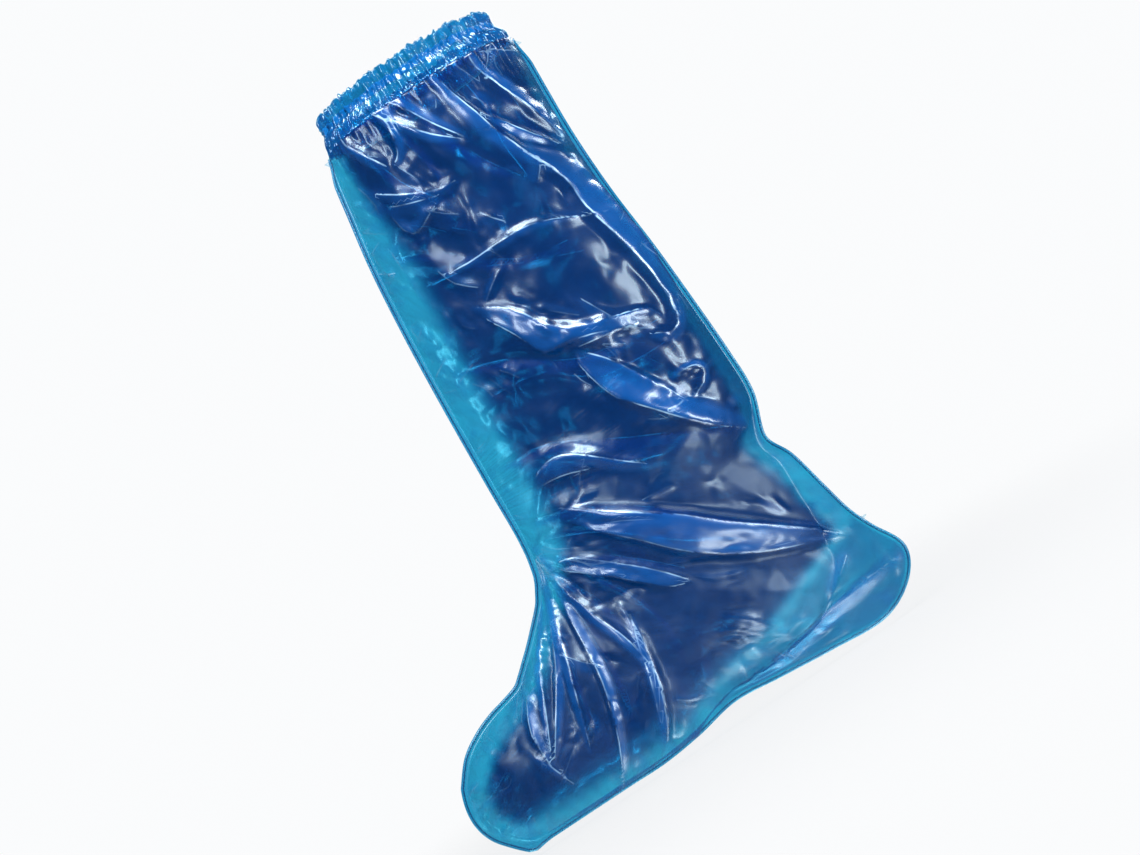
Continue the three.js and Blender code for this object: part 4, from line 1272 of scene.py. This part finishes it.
def film_material(name, groups, tone, pale, thin_tint, bag_tint, body, crinkle, gloss, pulled=True):
    """See-through film. The tints are the light that it lets by where two films touch and where they
    bag out, and body is the share of it that shines instead of letting light by."""
    material = bpy.data.materials.new(name)
    tree = emptied(material)
    place = node(tree, "ShaderNodeTexCoord", (-1100, 0)).outputs["Object"]
    fields = {}
    for k, kind in enumerate(("bagged", "folded", "off_crest", "crest_highlight", "dull")):
        spot = (-1100, -200 - 180 * k)
        fields[kind] = node(tree, "ShaderNodeAttribute", spot, attribute_name=kind).outputs["Fac"]
    # Haze, and a painted highlight as a pale line along the crests
    clouds_and_highlight = node(tree, "ShaderNodeGroup", (-750, 100), {
        "Vector": place,
        "Tone": (*tone, 1),
        "Pale Tone": (*pale, 1),
        "Folded": fields["folded"],
        "Off Crest": fields["off_crest"],
        "Highlight Strength": fields["crest_highlight"],
        "Gloss": gloss,
    }, node_tree=groups["clouds_highlight"]).outputs
    lie = place
    if pulled:
        pull = node(tree, "ShaderNodeAttribute", (-1300, -300), attribute_name="pull")
        lie = vector_maths(tree, (-1100, -1100), "MULTIPLY", {
            0: pull.outputs["Vector"], 1: CRINKLE_STRETCH,
        })
    wrinkle = node(tree, "ShaderNodeGroup", (-750, -200), {"Vector": lie}, node_tree=groups["crinkle"])
    bump = node(tree, "ShaderNodeBump", (-450, -200), {
        "Height": wrinkle, "Strength": crinkle, "Distance": CRINKLE_DEPTH,
    })
    dull = fields["dull"]
    rough = maths(tree, (-450, 120), "MULTIPLY_ADD", dull, DULL_ROUGHNESS, clouds_and_highlight["Roughness"])
    coat = maths(tree, (-450, 300), "MULTIPLY_ADD", dull, DULL_COAT, COAT)
    film = node(tree, "ShaderNodeBsdfPrincipled", (-150, 100), {
        "Base Color": clouds_and_highlight["Color"],
        "Roughness": rough,
        "IOR": 2.0,
        "Normal": bump,
        "Coat Weight": coat,
        "Coat Roughness": 0.19,
        "Coat IOR": 1.7,
    })
    tint = mixed_colour(tree, (-350, -420), fields["bagged"], (*thin_tint, 1), (*bag_tint, 1))
    clear = node(tree, "ShaderNodeBsdfTransparent", (-150, -300), {"Color": tint})
    grain = maths(tree, (-350, -620), "MULTIPLY_ADD", wrinkle, CRINKLE_MILK, clouds_and_highlight["Milk"])
    share = maths(tree, (-150, -480), "MULTIPLY_ADD", grain, MILK_SHARE, body)
    blend = node(tree, "ShaderNodeMixShader", (150, 0), {"Fac": share, 1: clear, 2: film})
    node(tree, "ShaderNodeOutputMaterial", (350, 0), {"Surface": blend})
    return material


def elastic_material():
    """Blue ribbed elastic."""
    material = bpy.data.materials.new("elastic")
    material.use_nodes = True
    tree = material.node_tree
    place = node(tree, "ShaderNodeTexCoord", (-700, 0)).outputs["Object"]
    rib = node(tree, "ShaderNodeTexWave", (-500, 0), {
        "Vector": place, "Scale": 320.0,
    }, bands_direction="Z").outputs["Fac"]
    tone = mixed_colour(tree, (-250, 100), rib, *ELASTIC_TONES)
    bump = node(tree, "ShaderNodeBump", (-250, -150), {"Height": rib, "Distance": RIB_DEPTH})
    rubber = tree.nodes["Principled BSDF"]
    rubber.inputs["Roughness"].default_value = 0.7
    tree.links.new(tone, rubber.inputs["Base Color"])
    tree.links.new(bump.outputs["Normal"], rubber.inputs["Normal"])
    return material


# Camera, lights and floor

# The photo shows the leg tilted by this much, so the camera is rolled to match.
CAMERA_ROLL = math.radians(33.3)
CAMERA_PLACE = Vector((-0.0413, -1.6, -0.281))
VIEW_WIDTH = 0.851  # what the picture spans at the seam plane
SENSOR = 36.0
CAMERA_RIGHT = Vector((math.cos(CAMERA_ROLL), 0, -math.sin(CAMERA_ROLL)))
CAMERA_UP = Vector((math.sin(CAMERA_ROLL), 0, math.cos(CAMERA_ROLL)))
CAMERA_BACK = Vector((0, -1, 0))
# Soft boxes: (name, (right, up, back) from the cover's middle, (width, height), power)
LIGHTS = [
    ("key", (-0.5, 1.15, 0.75), (0.9, 0.5), 40),
    ("side", (1.0, 0.4, 0.6), (0.26, 0.75), 10),
    ("low side", (0.95, -0.8, 0.68), (0.32, 0.5), 9),
    ("fill", (-0.85, 0.2, 0.9), (0.3, 0.7), 8),
    ("back", (0.2, 0.9, -1.0), (0.9, 0.4), 12),
]
FLOOR_CORNERS = 64
FLOOR_MIDDLE_X = -0.06
FLOOR_DROP = 6 * MM


def make_camera():
    data = bpy.data.cameras.new("camera")
    data.sensor_width = SENSOR
    data.lens = SENSOR * -CAMERA_PLACE.y / VIEW_WIDTH
    data.clip_start = 0.01
    camera = bpy.data.objects.new("camera", data)
    turned = Matrix((CAMERA_RIGHT, CAMERA_UP, CAMERA_BACK)).transposed().to_4x4()
    turned.translation = CAMERA_PLACE
    camera.matrix_world = turned
    bpy.context.scene.collection.objects.link(camera)
    bpy.context.scene.camera = camera


def make_light(name, place, size, power):
    """A soft box that faces the cover's middle."""
    right, up, back = place
    middle = Vector((CAMERA_PLACE.x, 0, CAMERA_PLACE.z))
    where = middle + CAMERA_RIGHT * right + CAMERA_UP * up + CAMERA_BACK * back
    data = bpy.data.lights.new(name, "AREA")
    data.shape = "RECTANGLE"
    data.size, data.size_y = size
    data.energy = power
    light = bpy.data.objects.new(name, data)
    light.location = where
    light.rotation_euler = (where - middle).to_track_quat("Z", "Y").to_euler()
    bpy.context.scene.collection.objects.link(light)


def make_world():
    """Pale all round where the camera looks, and dimmer for reflections."""
    world = bpy.data.worlds.new("studio")
    tree = emptied(world)
    seen = node(tree, "ShaderNodeBackground", (-200, 100), {"Color": (0.96, 0.97, 0.98, 1)})
    dim = node(tree, "ShaderNodeBackground", (-200, -100), {
        "Color": (0.5, 0.7, 1.0, 1), "Strength": 0.18,
    })
    path = node(tree, "ShaderNodeLightPath", (-400, 0))
    blend = node(tree, "ShaderNodeMixShader", (0, 0), {
        "Fac": path.outputs["Is Camera Ray"], 1: dim, 2: seen,
    })
    node(tree, "ShaderNodeOutputWorld", (200, 0), {"Surface": blend})
    bpy.context.scene.world = world


def make_floor():
    """A pale round floor that fades out towards its rim, so that no horizon shows."""
    material = bpy.data.materials.new("floor")
    tree = emptied(material)
    place = node(tree, "ShaderNodeTexCoord", (-900, 0))
    from_middle = vector_maths(tree, (-700, 0), "LENGTH", {0: place.outputs["Object"]})
    fade = node(tree, "ShaderNodeMapRange", (-500, 0), {
        "Value": from_middle.outputs["Value"],
        "From Min": 0.1, "From Max": 0.55, "To Min": 0.6, "To Max": 1.0,
    }, interpolation_type="SMOOTHSTEP")
    matt = node(tree, "ShaderNodeBsdfDiffuse", (-500, 250), {"Color": (0.42, 0.42, 0.42, 1)})
    clear = node(tree, "ShaderNodeBsdfTransparent", (-500, -250))
    blend = node(tree, "ShaderNodeMixShader", (-200, 0), {"Fac": fade, 1: matt, 2: clear})
    node(tree, "ShaderNodeOutputMaterial", (0, 0), {"Surface": blend})
    turns = np.linspace(0, 2 * math.pi, FLOOR_CORNERS + 1)[:-1]
    ring = [(math.cos(a), math.sin(a), 0) for a in turns]
    floor = make_object("floor", ring, [range(FLOOR_CORNERS)], material)
    floor.location = (FLOOR_MIDDLE_X, 0, solid_box[0][2] - FLOOR_DROP)


# Putting it together

groups = {"crinkle": crinkle_group(), "clouds_highlight": clouds_and_highlight_group()}
blue_film = film_material(
    "blue film", groups, tone=(0.0, 0.024, 0.125), pale=(0.0, 0.1, 0.38),
    thin_tint=(0.44, 0.91, 1.0), bag_tint=(0.09, 0.45, 0.64), body=0.12, crinkle=0.24, gloss=0.23,
)
hem_film = film_material(
    "gathered film", groups, tone=(0.0, 0.08, 0.25), pale=(0.02, 0.28, 0.5),
    thin_tint=(0.33, 0.78, 0.9), bag_tint=(0.33, 0.78, 0.9), body=0.17, crinkle=0.35, gloss=0.1,
)
pressed_film = film_material(
    "pressed film", groups, tone=(0.0, 0.06, 0.3), pale=(0.0, 0.2, 0.55),
    thin_tint=(0.85, 0.97, 0.99), bag_tint=(0.85, 0.97, 0.99), body=0.04, crinkle=0.4, gloss=0.12,
    pulled=False,
)
melted_film = film_material(
    "melted film", groups, tone=(0.0, 0.03, 0.12), pale=(0.0, 0.07, 0.28),
    thin_tint=(0.15, 0.5, 0.7), bag_tint=(0.15, 0.5, 0.7), body=0.5, crinkle=0.5, gloss=0.2,
    pulled=False,
)

left = film_panel("left_film", -1, LEFT_BROAD_FOLDS, LEFT_SHARP_FOLDS, blue_film)
right = film_panel("right_film", 1, RIGHT_BROAD_FOLDS, RIGHT_SHARP_FOLDS, blue_film)
edge = sealed_edge(pressed_film, melted_film)
cuff, band = gathered_cuff(hem_film, elastic_material())

for piece, solid, finish in (
    (left, "left_panel", "film"),
    (right, "right_panel", "film"),
    (edge, "sealed_edge", "sealed_film"),
    (cuff, "cuff_hem", "film"),
    (band, "cuff_elastic", "elastic"),
):
    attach(piece, "root")
    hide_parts(solid)

make_camera()
for light in LIGHTS:
    make_light(*light)
make_world()
make_floor()
bpy.context.scene.view_settings.view_transform = "Standard"
cycles = bpy.context.scene.cycles
cycles.transparent_max_bounces = 32
cycles.max_bounces = 4
cycles.diffuse_bounces = 2
cycles.glossy_bounces = 2
for piece in (left, right, cuff):
    piece.visible_shadow = False
